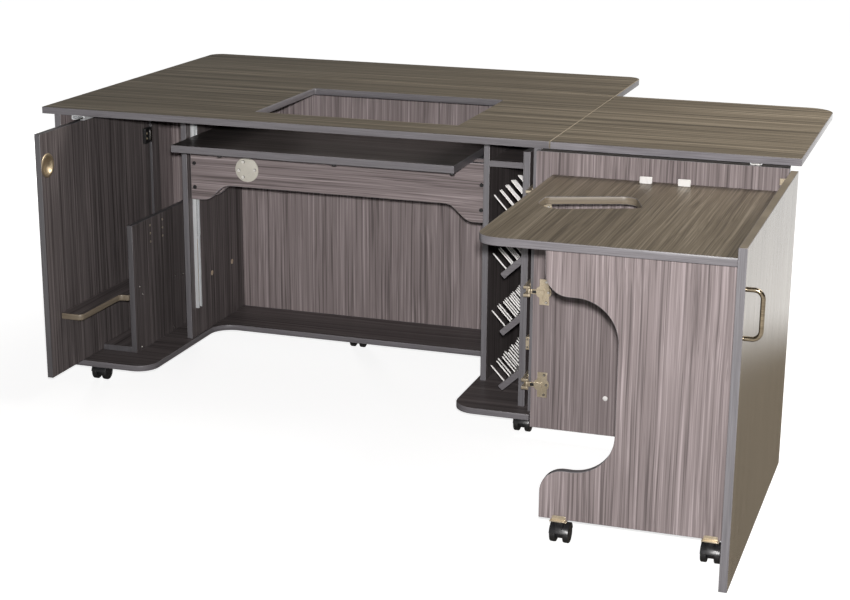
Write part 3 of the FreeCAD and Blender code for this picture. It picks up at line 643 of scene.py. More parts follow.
def boards(face: Material, edge: Material, line: Material, *nodes: str) -> None:
    """Build boards of one look."""
    for node in nodes:
        Board(node, face, edge, line).build()


def dress(node: str, name: str, finish: Material, rounding: float) -> None:
    """Copy of a metal or plastic solid with softened edges, in place of it.

    Args:
        node: The solid.
        name: Name of the piece.
        finish: Its material.
        rounding: Width of the rounding of its edges.
    """
    mesh = solid_copy(node)
    soften(mesh, rounding)
    fit(name, mesh, finish, body_of(node), slot_of(node), node)


def rounded(corners: list[tuple[float, float, float]], steps: int) -> Outline:
    """Outline whose corners are rounded by arcs.

    Args:
        corners: Corner places and radii, in order.
        steps: Straight pieces of each arc.

    Returns:
        The outline's points.
    """
    points: Outline = []
    for i, (x, y, radius) in enumerate(corners):
        corner = Vector((x, y))
        back = (Vector(corners[i - 1][:2]) - corner).normalized()
        ahead = (Vector(corners[(i + 1) % len(corners)][:2]) - corner).normalized()
        half = back.angle(ahead) / 2
        run = radius / math.tan(half)
        centre = corner + (back + ahead).normalized() * radius / math.sin(half)
        first, last = corner + back * run - centre, corner + ahead * run - centre
        turn = math.atan2(first.x * last.y - first.y * last.x, first.dot(last))
        points += [tuple(centre + Matrix.Rotation(turn * step / steps, 2) @ first)
                   for step in range(steps + 1)]
    return points


def extrude(mesh: Mesh, outline: list[Vector], along: Vector) -> None:
    """Add a closed prism to a mesh.

    Args:
        mesh: Mesh that it goes into.
        outline: Corners of its first face.
        along: Way to its second face.
    """
    first = [mesh.verts.new(point) for point in outline]
    second = [mesh.verts.new(point + along) for point in outline]
    faces = [mesh.faces.new(first), mesh.faces.new(second)]
    for i, vert in enumerate(first):
        faces.append(mesh.faces.new((first[i - 1], vert, second[i], second[i - 1])))
    bmesh.ops.recalc_face_normals(mesh, faces=faces)


def block(mesh: Mesh, low: Vector, high: Vector) -> None:
    """Add a box between two corners to a mesh."""
    corners = ((low.x, low.y), (high.x, low.y), (high.x, high.y), (low.x, high.y))
    extrude(mesh, [Vector((x, y, low.z)) for x, y in corners], Vector((0, 0, high.z - low.z)))


def lathe(mesh: Mesh, profile: Outline, centre: Vector, axis: Vector, steps: int,
          marks: list[int] | None = None) -> None:
    """Turn a profile about an axis and add it to a mesh.

    Args:
        mesh: Mesh that it goes into.
        profile: Distance along the axis and radius of each point, from axis to axis.
        centre: Point on the axis that distances are measured from.
        axis: The axis.
        steps: Faces around.
        marks: Material index of each stretch of the profile.
    """
    side = axis.orthogonal().normalized()
    rings = []
    for along, radius in profile:
        spokes = [Matrix.Rotation(math.tau * i / steps, 3, axis) @ side * radius for i in range(steps)]
        places = spokes if radius > 1e-9 else [Vector((0, 0, 0))]
        rings.append([mesh.verts.new(centre + axis * along + spoke) for spoke in places])
    faces = []
    for stretch, (near, far) in enumerate(zip(rings, rings[1:])):
        for i in range(steps):
            ring = [near[i % len(near)], near[(i + 1) % len(near)],
                    far[(i + 1) % len(far)], far[i % len(far)]]
            corners = list(dict.fromkeys(ring))
            if len(corners) < 3:
                continue
            face = mesh.faces.new(corners)
            face.smooth = True
            face.material_index = marks[stretch] if marks else 0
            faces.append(face)
    bmesh.ops.recalc_face_normals(mesh, faces=faces)


def mark_sharp(mesh: Mesh) -> None:
    """Keep a turned mesh's corners crisp."""
    for edge in mesh.edges:
        edge.smooth = edge.calc_face_angle(0.0) < SHARP


class Grown:
    """A Geometry Nodes tree that grows the same small part on each point of a mesh, along its facing."""

    def __init__(self, name: str, sizes: dict[str, float]) -> None:
        """Build the tree with a named input for each size.

        Args:
            name: Name of the tree.
            sizes: Sizes in metres by name.
        """
        self.sizes = sizes
        inputs = {"Points": GEOMETRY, **dict.fromkeys(sizes, NUMBER), "Finish": FINISH}
        sketch, given = new_tree(name, "GeometryNodeTree", inputs, {"Grown": GEOMETRY})
        self.tree = sketch.tree
        facing = sketch.out("GeometryNodeInputNamedAttribute", {"Name": "facing"}, data_type="FLOAT_VECTOR")
        turn = sketch.out("FunctionNodeAlignRotationToVector", {"Vector": facing}, axis="Z")
        part = self.part(sketch, given)
        spread = sketch.out("GeometryNodeInstanceOnPoints",
                            {"Points": given["Points"], "Instance": part, "Rotation": turn})
        real = sketch.out("GeometryNodeRealizeInstances", {0: spread})
        dressed = sketch.out("GeometryNodeSetMaterial", {"Geometry": real, "Material": given["Finish"]})
        sketch.node("NodeGroupOutput", {0: dressed})

    def part(self, sketch: NodeSketch, sizes: Sockets) -> Socket:
        """Geometry of one part, standing on the origin along Z.

        Args:
            sketch: Sketch of the tree.
            sizes: The tree's inputs by name.

        Returns:
            The geometry.
        """
        raise NotImplementedError

    def grow(self, name: str, spots: list[Spot], finish: Material, body: str, slot: str, *nodes: str) -> None:
        """Settle a plain mesh of the part on every spot as one piece.

        Args:
            name: Name of the piece.
            spots: Point and facing of each part.
            finish: Material of them all.
            body: Body that they move with.
            slot: Material slot of the record.
            nodes: Solids that they stand for.
        """
        points = bpy.data.meshes.new(name + "_points")
        points.from_pydata([spot for spot, _ in spots], [], [])
        facing = points.attributes.new("facing", "FLOAT_VECTOR", "POINT")
        facing.data.foreach_set("vector", [value for _, way in spots for value in way])
        source = link(name + "_points", points)
        grower = source.modifiers.new("grow", "NODES")
        grower.node_group = self.tree
        settings = {**self.sizes, "Finish": finish}
        for socket in self.tree.interface.items_tree:
            if socket.item_type == "SOCKET" and socket.in_out == "INPUT" and socket.name in settings:
                grower[socket.identifier] = settings[socket.name]
        graph = bpy.context.evaluated_depsgraph_get()
        data = bpy.data.meshes.new_from_object(source.evaluated_get(graph), depsgraph=graph)
        data.name = name
        source.modifiers.remove(grower)
        bpy.data.objects.remove(source)
        bpy.data.meshes.remove(points)
        settle(link(name, data), body, slot, *nodes)


class ScrewHead(Grown):
    """Low cone-shaped screw head with a cross recess."""

    def part(self, sketch: NodeSketch, sizes: Sockets) -> Socket:
        """Geometry of one head.

        Args:
            sketch: Sketch of the tree.
            sizes: The tree's inputs by name.

        Returns:
            The geometry.
        """
        radius, height = sizes["Head Radius"], sizes["Head Height"]
        top, long, wide = (sketch.math("MULTIPLY", radius, share) for share in (0.74, 1.05, 0.24))
        head = sketch.out("GeometryNodeMeshCone", {"Vertices": 16, "Radius Top": top, "Radius Bottom": radius,
                                                   "Depth": height})
        bar = sketch.out("GeometryNodeMeshCube", {"Size": sketch.xyz(long, wide, height)})
        lift = sketch.xyz(0.0, 0.0, height)
        cross = [sketch.out("GeometryNodeTransform", {"Geometry": bar, "Translation": lift,
                                                      "Rotation": (0.0, 0.0, turn)})
                 for turn in (0.0, math.pi / 2)]
        cut = sketch.node("GeometryNodeMeshBoolean", {"Mesh 1": head, "Mesh 2": cross[0]},
                          operation="DIFFERENCE")
        sketch.tree.links.new(cross[1], cut.inputs["Mesh 2"])
        return cut.outputs[0]


class Peg(Grown):
    """Slim round peg with a domed tip, centred on its point."""

    def part(self, sketch: NodeSketch, sizes: Sockets) -> Socket:
        """Geometry of one peg.

        Args:
            sketch: Sketch of the tree.
            sizes: The tree's inputs by name.

        Returns:
            The geometry.
        """
        half = sketch.math("MULTIPLY", sizes["Length"], 0.5)
        foot, head = (sketch.xyz(0.0, 0.0, z) for z in (sketch.math("MULTIPLY", half, -1.0), half))
        line = sketch.out("GeometryNodeCurvePrimitiveLine", {"Start": foot, "End": head})
        fine = sketch.out("GeometryNodeResampleCurve", {"Curve": line, "Count": 20})
        along = sketch.node("GeometryNodeSplineParameter").outputs["Factor"]
        tip = sketch.math("DIVIDE", sketch.math("SUBTRACT", along, 0.9), 0.11)
        drop = sketch.math("POWER", sketch.math("MAXIMUM", tip, 0.0), 2.0)
        dome = sketch.math("SQRT", sketch.math("SUBTRACT", 1.0, drop))
        shaped = sketch.out("GeometryNodeSetCurveRadius", {"Curve": fine, "Radius": dome})
        ring = sketch.out("GeometryNodeCurvePrimitiveCircle", {"Resolution": 10, "Radius": sizes["Radius"]})
        return sketch.out("GeometryNodeCurveToMesh", {"Curve": shaped, "Profile Curve": ring, "Scale": dome,
                                                      "Fill Caps": True})


class Ladder(Grown):
    """Perforated strip that stands along its facing: two side bars and evenly spaced rungs."""

    def part(self, sketch: NodeSketch, sizes: Sockets) -> Socket:
        """Geometry of one strip.

        Args:
            sketch: Sketch of the tree.
            sizes: The tree's inputs by name.

        Returns:
            The geometry.
        """
        length, width, bar, thick = (sizes[k] for k in ("Length", "Width", "Bar", "Thickness"))
        count = sketch.math("FLOOR", sketch.math("DIVIDE", length, sizes["Pitch"]))
        inside = sketch.math("SUBTRACT", width, sketch.math("MULTIPLY", bar, 2.0))
        rung, side = (sketch.out("GeometryNodeMeshCube", {"Size": sketch.xyz(thick, *size)})
                      for size in ((inside, bar), (bar, length)))
        step = sketch.xyz(0.0, 0.0, sizes["Pitch"])
        line = sketch.out("GeometryNodeMeshLine", {"Count": count, "Offset": step})
        rungs = sketch.out("GeometryNodeInstanceOnPoints", {"Points": line, "Instance": rung})
        reach = sketch.math("MULTIPLY", sketch.math("SUBTRACT", width, bar), 0.5)
        middle = sketch.math("MULTIPLY", length, 0.5)
        joined = sketch.node("GeometryNodeJoinGeometry", {0: rungs})
        for way in (1.0, -1.0):
            offset = sketch.xyz(0.0, sketch.math("MULTIPLY", reach, way), middle)
            moved = sketch.out("GeometryNodeTransform", {"Geometry": side, "Translation": offset})
            sketch.tree.links.new(moved, joined.inputs[0])
        return joined.outputs[0]


class Helix(Grown):
    """Screw thread that climbs along its facing."""

    def part(self, sketch: NodeSketch, sizes: Sockets) -> Socket:
        """Geometry of one thread.

        Args:
            sketch: Sketch of the tree.
            sizes: The tree's inputs by name.

        Returns:
            The geometry.
        """
        root, length = sizes["Root Radius"], sizes["Length"]
        turns = sketch.math("DIVIDE", length, sizes["Pitch"])
        spiral = sketch.out("GeometryNodeCurveSpiral",
                            {"Resolution": 20, "Rotations": turns, "Height": length,
                             "Start Radius": root, "End Radius": root})
        ridge = sketch.out("GeometryNodeCurvePrimitiveCircle", {"Resolution": 4, "Radius": sizes["Ridge"]})
        return sketch.out("GeometryNodeCurveToMesh", {"Curve": spiral, "Profile Curve": ridge,
                                                      "Fill Caps": True})


class Sleeve(Grown):
    """Small round collar that lies flat against its face."""

    def part(self, sketch: NodeSketch, sizes: Sockets) -> Socket:
        """Geometry of one collar.

        Args:
            sketch: Sketch of the tree.
            sizes: The tree's inputs by name.

        Returns:
            The geometry.
        """
        ring, lip = (sketch.out("GeometryNodeCurvePrimitiveCircle",
                                {"Resolution": count, "Radius": sizes[size]})
                     for count, size in ((18, "Ring Radius"), (8, "Lip")))
        return sketch.out("GeometryNodeCurveToMesh", {"Curve": ring, "Profile Curve": lip})


class Fasteners:
    """The growing trees that several sub-assemblies share."""

    def __init__(self) -> None:
        """Build each tree with its sizes."""
        def screw(name: str, radius: float, height: float) -> ScrewHead:
            """Screw head of one size."""
            return ScrewHead(name, {"Head Radius": radius, "Head Height": height})

        self.wood_screw = screw("wood_screw", 0.0038, 0.0011)
        self.small_screw = screw("small_screw", 0.0030, 0.0010)
        self.apron_screw = screw("apron_screw", 0.0058, 0.0030)
        self.disc_screw = screw("disc_screw", 0.0052, 0.0016)
        self.pin_sleeve = Sleeve("pin_sleeve", {"Ring Radius": 0.0026, "Lip": 0.0006})


@dataclass
class Assembly:
    """Sub-assembly that is dressed with the shared finishes and fasteners."""

    finishes: Finishes
    fasteners: Fasteners

    def build(self) -> None:
        """Dress the sub-assembly's solids and add its small fittings."""
        raise NotImplementedError


@dataclass
class Worktops(Assembly):
    """Main top with its cut-out, the fold-over leaf, the drop leaf and the leaf's glide."""

    glide_round: float = 0.0012
    barrel_round: float = 0.0003
    arris: float = 0.0012

    def build(self) -> None:
        """Dress the three tops and the fittings in their seams."""
        f = self.finishes
        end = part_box("main_top")[1]
        seams = ((0, end.x), (1, end.y))
        # The right leaf's edges take a lighter band (painted light) and the rear leaf's the darker one
        # (painted shade)
        edges = {"main_top": f.edge_level, "right_leaf": f.edge_leaf_lit, "rear_leaf": f.edge_shaded}
        for node, edge in edges.items():
            inner = f.edge_level if node == "main_top" else None
            Board(node, f.top_across, edge, f.arris_highlight_line, inner, seam=f.seam_line, seams=seams,
                  rounding=self.arris).build()
        for node in ("seam_hinge_fixed", "seam_hinge_moving"):
            dress(node, node + "_barrels", f.zinc, self.barrel_round)
        dress("leaf_glide", "leaf_glide_pad", f.white_plastic, self.glide_round)


@dataclass
class Carcass(Assembly):
    """Side, inner and back panels and the base board, with their small fittings."""

    plug_radius: float = 0.0075
    plug_height: float = 0.0006
    plug_spots: tuple = ((0.4265, 0.226), (0.5655, 0.226))
    catch_size: tuple = (0.010, 0.026, 0.034)
    catch_inset: float = 0.004
    catch_z: float = 0.228
    catch_round: float = 0.0012

    def build(self) -> None:
        """Dress the panels and set their plugs and catch."""
        f = self.finishes
        boards(f.panel_upright, f.edge_upright, f.arris_highlight_line,
               "left_side_panel", "right_side_panel", "back_panel")
        boards(f.shaded_inside_upright, f.edge_upright, f.arris_highlight_line, "left_inner_panel", "right_inner_panel")
        boards(f.shaded_inside_across, f.edge_level, f.arris_highlight_line, "base_board")
        self.plugs()
        self.catch()

    def plugs(self) -> None:
        """Cover plugs of the fittings in the left inner panel, on the knee side."""
        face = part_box("left_inner_panel")[1].x
        mesh = bmesh.new()
        r, h = self.plug_radius, self.plug_height
        profile = [(-PROUD, 0.0), (-PROUD, r), (h * 0.6, r), (h, r * 0.9), (h, 0.0)]
        for y, z in self.plug_spots:
            lathe(mesh, profile, Vector((face, at(0, y, 0).y, z)), X_AXIS, 24)
        mark_sharp(mesh)
        fit("inner_panel_plugs", mesh, self.finishes.plug_beige, "cabinet", "panel_laminate")

    def catch(self) -> None:
        """Small catch block inside the right side panel's front edge."""
        low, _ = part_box("right_side_panel")
        wide, deep, tall = self.catch_size
        corner = Vector((low.x - wide, low.y + self.catch_inset, self.catch_z))
        mesh = bmesh.new()
        block(mesh, corner, corner + Vector((wide, deep, tall)))
        soften(mesh, self.catch_round)
        fit("wing_catch", mesh, self.finishes.nickel, "cabinet", "nickel_steel")
        spots = [(corner + Vector((wide / 2, 0, tall * part)), -Y_AXIS) for part in (0.2, 0.8)]
        self.fasteners.small_screw.grow("wing_catch_screws", spots, self.finishes.screw_steel, "cabinet",
                                        "nickel_steel")


@dataclass
class StorageBay(Assembly):
    """Divider, floor and notched shelf of the left bay."""

    screw_spots: tuple = ((0.141, 0.250), (0.156, 0.225), (0.359, 0.227), (0.407, 0.219),
                          (0.342, 0.0775), (0.139, 0.0755))
    bore_rows: tuple = (0.215, 0.290)
    bore_heights: tuple = (0.362, 0.386, 0.409)

    def build(self) -> None:
        """Dress the boards and set the divider's screws and shelf-pin sleeves."""
        f = self.finishes
        boards(f.shaded_inside_upright, f.edge_shaded, f.edge_shaded, "storage_divider")
        boards(f.shaded_inside_deep, f.edge_shaded, f.edge_shaded, "storage_floor")
        boards(f.shaded_inside_deep, f.edge_brown, f.edge_brown, "storage_shelf")
        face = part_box("storage_divider")[1].x
        bores = [(y, z) for y in self.bore_rows for z in self.bore_heights]
        for name, part, places, finish in (
                ("divider_screws", self.fasteners.wood_screw, self.screw_spots, f.screw_steel),
                ("shelf_pin_sleeves", self.fasteners.pin_sleeve, bores, f.nickel)):
            spots = [(Vector((face, at(0, y, 0).y, z)), X_AXIS) for y, z in places]
            part.grow(name, spots, finish, "cabinet", "nickel_steel")


@dataclass
class PocketDoor(Assembly):
    """Sliding door with its round flush pull, carrier strip, hinge fittings and slide channel."""

    rim: float = 0.0045
    dish_share: float = 0.74
    dish_floor: float = 0.0015
    flange: float = 0.0015
    cup_wall: float = 0.002
    plate_size: tuple = (0.0012, 0.012, 0.030)
    plate_gap: float = 0.001
    hinge_depth: float = 0.009
    hinge_tall: float = 0.03
    screw_back: float = 0.030
    screw_rises: tuple = (-0.007, 0.007)

    def build(self) -> None:
        """Dress the door, its carrier and its channel, and turn the pull."""
        f = self.finishes
        boards(f.shaded_inside_upright, f.edge_shaded, f.edge_shaded, "left_door", "door_carrier")
        self.pull()
        dress("door_fittings", "door_fitting_steel", f.black_steel, 0.0008)
        dress("door_rails", "door_rail_channel", f.zinc_level, 0.0004)
        self.hinge_plates()

    def pull(self) -> None:
        """Turned dish with a rolled rim, sunk in the door's inner face."""
        low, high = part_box("flush_pull")
        radius = (high.y - low.y) / 2
        centre = Vector((low.x, (low.y + high.y) / 2, (low.z + high.z) / 2))
        depth = high.x - low.x
        mouth = radius * self.dish_share
        sag = depth - self.dish_floor
        curve = (mouth ** 2 + sag ** 2) / (2 * sag)
        reach = math.asin(mouth / curve)
        dish = [(self.dish_floor + curve * (1 - math.cos(reach * i / 12)), curve * math.sin(reach * i / 12))
                for i in range(13)]
        flange = depth - self.flange
        rim = [(depth + 0.0005, mouth + self.rim * 0.35), (depth + 0.0002, mouth + self.rim),
               (depth - 0.0004, radius - 0.0010), (flange + 0.0004, radius), (flange, radius - 0.0004)]
        back = [(flange, mouth + self.cup_wall), (0.0, mouth + self.cup_wall), (0.0, 0.0)]
        mesh = bmesh.new()
        lathe(mesh, dish + rim + back, centre, X_AXIS, 64)
        mark_sharp(mesh)
        fit("flush_pull_dish", mesh, self.finishes.bronze, "left_door", "bronze", "flush_pull")

    def hinge_plates(self) -> None:
        """Nickel plates and screws on the two hinge blocks at the door's rear edge."""
        f = self.finishes
        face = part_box("left_door")[1].x + self.hinge_depth
        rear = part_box("door_carrier")[0].y
        thick, wide, tall = self.plate_size
        mesh = bmesh.new()
        spots = []
        for low, high in islands("door_fittings"):
            if high.z - low.z <= self.hinge_tall:
                continue
            z = (low.z + high.z) / 2
            corner = Vector((face, rear - wide - self.plate_gap, z - tall / 2))
            block(mesh, corner, corner + Vector((thick, wide, tall)))
            spots += [(Vector((face, rear - self.screw_back, z + rise)), X_AXIS) for rise in self.screw_rises]
        soften(mesh, 0.0004)
        fit("door_hinge_plates", mesh, f.screw_steel, "left_door", "nickel_steel")
        self.fasteners.wood_screw.grow("door_hinge_screws", spots, f.nickel, "left_door", "nickel_steel")


@dataclass
class ThreadRack(Assembly):
    """Rack board, slanted thread shelves with their pegs, and the pier's top shelf."""

    lean: float = math.radians(43)
    peg_radius: float = 0.0022
    peg_length: float = 0.052

    def build(self) -> None:
        """Dress the boards and grow the pegs."""
        f = self.finishes
        boards(f.shaded_inside_upright, f.edge_upright, f.arris_highlight_line, "thread_rack_board")
        boards(f.shaded_inside_across, f.edge_level, f.arris_highlight_line, "pier_top_shelf")
        boards(f.shaded_inside_deep, f.edge_level, f.arris_highlight_line, "thread_shelves")
        out = Vector((-math.sin(self.lean), 0.0, math.cos(self.lean)))
        spots = [((low + high) / 2, out) for low, high in islands("thread_pegs")]
        peg = Peg("thread_peg", {"Radius": self.peg_radius, "Length": self.peg_length})
        peg.grow("thread_peg_rows", spots, f.white_plastic, "cabinet", "white_plastic", "thread_pegs")


@dataclass
class MachineLift(Assembly):
    """Platform and aprons that ride on two slides, with the lifting screw and its drive."""

    disc_screw_radius: float = 0.024
    disc_screw_turns: tuple = (0.0, 115.0, 187.0, 242.0)
    cage_z: tuple = (0.362, 0.733)
    cage_bar: float = 0.0010
    cage_thick: float = 0.0008
    cage_pitch: float = 0.0058
    cage_slack: float = 0.0004
    back_half: float = 0.0021
    strip_y: tuple = (0.0015, 0.0035)
    strip_z: tuple = (0.170, 0.355)
    lip: float = 0.005
    screw_core: float = 0.0066
    screw_pitch: float = 0.006
    screw_ridge: float = 0.0014
    screw_inset: float = 0.018
    screw_lap: float = 0.004
    end_block: float = 0.022

    def build(self) -> None:
        """Dress the lift's boards, slides, screw and small parts."""
        f = self.finishes
        # The platform takes the darker laminate: painted shade under the main top
        boards(f.shaded_platform_across, f.edge_level, f.arris_highlight_line, "lift_platform")
        boards(f.panel_across, f.edge_level, f.arris_highlight_line, "lift_aprons")
        dress("lift_rails", "lift_rail_channels", f.zinc, 0.0004)
        dress("lift_runners", "lift_runner_brackets", f.zinc, 0.0004)
        dress("lift_drive", "lift_drive_housing", f.black_plastic, 0.0025)
        dress("platform_glides", "platform_glide_studs", f.black_plastic, 0.0015)
        self.disc()
        self.apron_screws()
        self.rail_cages()
        self.screw()

    def disc(self) -> None:
        """Cover disc on the front apron with its four screws."""
        low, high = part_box("cover_disc")
        radius, thick = (high.x - low.x) / 2, high.y - low.y
        centre = Vector(((low.x + high.x) / 2, high.y, (low.z + high.z) / 2))
        mesh = bmesh.new()
        lathe(mesh, [(0.0, 0.0), (0.0, radius), (thick * 0.55, radius), (thick * 0.9, radius - 0.0006),
                     (thick, radius - 0.0016), (thick, 0.0)], centre, -Y_AXIS, 72)
        mark_sharp(mesh)
        fit("cover_disc_plate", mesh, self.finishes.disc_paint, "lift", "nickel_steel", "cover_disc")
        spots = []
        for angle in map(math.radians, self.disc_screw_turns):
            spoke = Vector((math.cos(angle), 0.0, math.sin(angle))) * self.disc_screw_radius
            spots.append((centre + spoke - Y_AXIS * (thick - PROUD), -Y_AXIS))
        self.fasteners.disc_screw.grow("cover_disc_screws", spots, self.finishes.screw_steel, "lift",
                                       "nickel_steel")

    def apron_screws(self) -> None:
        """Black screw heads at both ends of the front apron."""
        spots = [(Vector(((low.x + high.x) / 2, high.y, (low.z + high.z) / 2)), -Y_AXIS)
                 for low, high in islands("apron_screws")]
        self.fasteners.apron_screw.grow("apron_screw_heads", spots, self.finishes.black_steel, "lift",
                                        "black_steel", "apron_screws")

    def rail_cages(self) -> None:
        """Perforated strips along the open side of both slide rails, thin black sheets of painted shade
        behind them, and the brass strip below them.
        """
        f = self.finishes
        bottom, top = self.cage_z
        cage = Ladder("rail_cage", {"Length": top - bottom, "Width": self.lip - self.cage_slack,
                                    "Bar": self.cage_bar, "Thickness": self.cage_thick,
                                    "Pitch": self.cage_pitch})
        spots = []
        shade_backs, strips = bmesh.new(), bmesh.new()
        for (low, high), way in zip(islands("lift_rails"), (1, -1)):
            face = high.x if way > 0 else low.x
            inner, outer = sorted((face - way * PROUD, face + way * PROUD))
            for y in (low.y + self.lip / 2, high.y - self.lip / 2):
                spots.append((Vector((face + way * self.cage_thick / 2, y, bottom)), Z_AXIS))
                block(shade_backs, Vector((inner, y - self.back_half, bottom)),
                      Vector((outer, y + self.back_half, top)))
            near, far = (Vector((x, low.y + y, z))
                         for x, y, z in zip((inner, outer), self.strip_y, self.strip_z))
            block(strips, near, far)
        # Thin black sheets behind the cages: painted shade of the hollow behind them
        fit("rail_cage_backs", shade_backs, f.black_steel, "cabinet", "black_steel")
        fit("rail_brass_strips", strips, f.bronze, "cabinet", "bronze")
        cage.grow("rail_cages", spots, f.zinc, "cabinet", "zinc_steel")

    def screw(self) -> None:
        """Lifting screw: a core with its thread between two end blocks."""
        low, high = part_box("lift_screw")
        tall, core, lap = self.end_block, self.screw_core, self.screw_lap
        foot = Vector((low.x + self.screw_inset, (low.y + high.y) / 2, low.z + tall))
        length = high.z - low.z - 2 * tall
        mesh = bmesh.new()
        block(mesh, low, Vector((high.x, high.y, low.z + tall)))
        block(mesh, Vector((low.x, low.y, high.z - tall)), high)
        soften(mesh, 0.001)
        lathe(mesh, [(-lap, 0.0), (-lap, core), (length + lap, core), (length + lap, 0.0)], foot, Z_AXIS, 24)
        mark_sharp(mesh)
        fit("lift_screw_core", mesh, self.finishes.zinc, "cabinet", "zinc_steel", "lift_screw")
        thread = Helix("screw_thread", {"Length": length, "Pitch": self.screw_pitch, "Root Radius": core,
                                        "Ridge": self.screw_ridge})
        thread.grow("lift_screw_thread", [(foot, Z_AXIS)], self.finishes.zinc, "cabinet", "zinc_steel")


@dataclass
class SideTable(Assembly):
    """Swing-out table: back, side and front panels, tabletop, pull, blocks and hinges."""

    bumper_spot: tuple = (1.559, 0.130)
    bumper_radius: float = 0.0065
    bumper_height: float = 0.0022
    angle_size: tuple = (0.024, 0.002, 0.016)
    angle_heights: tuple = (0.110, 0.703)
    strip_clear: float = 0.0002
    strip_start: float = 0.012
    strip_lap: float = 0.002
    strip_gap: float = 0.003
    flange_thick: float = 0.002
    flange_wide: float = 0.025
    gusset_thick: float = 0.0018
    gusset_corners: tuple = ((0.004, 0.020, 0.001), (-0.012, 0.010, 0.003), (-0.012, -0.010, 0.003),
                             (0.004, -0.020, 0.001))
    link_corners: tuple = ((0.0125, -0.0062, -0.0036), (0.0225, -0.0018, 0.0036))
    cup_screws: tuple = ((0.0125, -0.026), (0.0125, 0.026), (0.018, 0.0))

    def build(self) -> None:
        """Dress the boards and fit the pull, blocks, bumper and hinges."""
        f = self.finishes
        boards(f.panel_upright, f.edge_upright, f.arris_highlight_line, "wing_back_panel", "wing_front_panel")
        # The side panel's face laminate is darkened and browned as painted shade and reflection
        Board("wing_side_panel", f.side_upright, f.edge_upright, f.arris_highlight_line, upper=f.edge_brown).build()
        # The side panel's top edge takes the brown band: painted warm light from above
        Board("wing_table", f.table_deep, f.edge_level, f.arris_highlight_line, f.edge_brown).build()
        dress("wing_pull", "wing_pull_bar", f.satin_nickel, 0.0)
        dress("wing_blocks", "wing_block_pads", f.white_plastic, 0.0015)
        self.corner_angles()
        self.gap_shade_strip()
        self.bumper()
        self.hinges()

    def corner_angles(self) -> None:
        """Two angle plates in the corner between the back and side panels."""
        leg, thick, height = self.angle_size
        corner = Vector((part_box("wing_side_panel")[0].x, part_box("wing_back_panel")[0].y, 0.0))
        outline = [(0, 0), (-leg, 0), (-leg, -thick), (-thick, -thick), (-thick, -leg), (0, -leg)]
        mesh = bmesh.new()
        for z in self.angle_heights:
            extrude(mesh, [corner + Vector((x, y, z)) for x, y in outline], Vector((0, 0, height)))
        soften(mesh, 0.0004)
        fit("wing_corner_angles", mesh, self.finishes.nickel, "wing", "nickel_steel")

    def gap_shade_strip(self) -> None:
        """Dark strip along the top of the back panel, painted shade in the gap under the leaf, open where the
        leaf's glide rests.
        """
        low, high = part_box("wing_back_panel")
        glide_low, glide_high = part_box("leaf_glide")
        gap, rear = self.strip_gap, high.y + self.strip_lap
        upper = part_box("right_leaf")[0].z - self.strip_clear
        mesh = bmesh.new()
        for start, end in ((low.x + self.strip_start, glide_low.x - gap), (glide_high.x + gap, high.x)):
            block(mesh, Vector((start, low.y, high.z - PROUD)), Vector((end, rear, upper)))
        soften(mesh, 0.0003)
        fit("wing_slide_strip", mesh, self.finishes.painted_gap_shade, "wing", "black_plastic")

    def bumper(self) -> None:
        """Round white bumper on the back panel."""
        x, z = self.bumper_spot
        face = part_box("wing_back_panel")[0].y
        r, h = self.bumper_radius, self.bumper_height
        dome = [(h * math.cos(i * math.pi / 12), r * math.sin(i * math.pi / 12)) for i in range(6, -1, -1)]
        mesh = bmesh.new()
        lathe(mesh, [(-PROUD, 0.0), (-PROUD, r)] + dome, Vector((at(x, 0, 0).x, face, z)), -Y_AXIS, 24)
        fit("wing_bumper", mesh, self.finishes.white_plastic, "wing", "white_plastic")

    def hinges(self) -> None:
        """Cup hinges: arms on the cabinet, flanged cups on the back panel, links and screws."""
        f = self.finishes
        dress("wing_hinge_arms", "wing_hinge_arm_plates", f.nickel, 0.0006)
        dress("wing_hinge_cups", "wing_hinge_cup_plates", f.nickel, 0.0005)
        gussets, links = bmesh.new(), bmesh.new()
        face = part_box("wing_back_panel")[0].y - self.flange_thick
        spots = []
        for low, high in islands("wing_hinge_cups"):
            z = (low.z + high.z) / 2
            left = high.x - self.flange_wide
            outline = rounded([(left + x, z + rise, radius) for x, rise, radius in self.gusset_corners], 4)
            extrude(gussets, [Vector((x, face, height)) for x, height in outline],
                    Vector((0, -self.gusset_thick, 0)))
            corners = [Vector((low.x + x, face + y, z + rise)) for x, y, rise in self.link_corners]
            block(links, *corners)
            spots += [(Vector((left + x, face, z + rise)), -Y_AXIS) for x, rise in self.cup_screws]
        soften(gussets, 0.0004)
        soften(links, 0.0008)
        fit("wing_hinge_gussets", gussets, f.nickel, "wing", "nickel_steel")
        fit("wing_hinge_links", links, f.black_plastic, "wing", "black_plastic")
        self.fasteners.wood_screw.grow("wing_hinge_screws", spots, f.screw_steel, "wing", "nickel_steel")


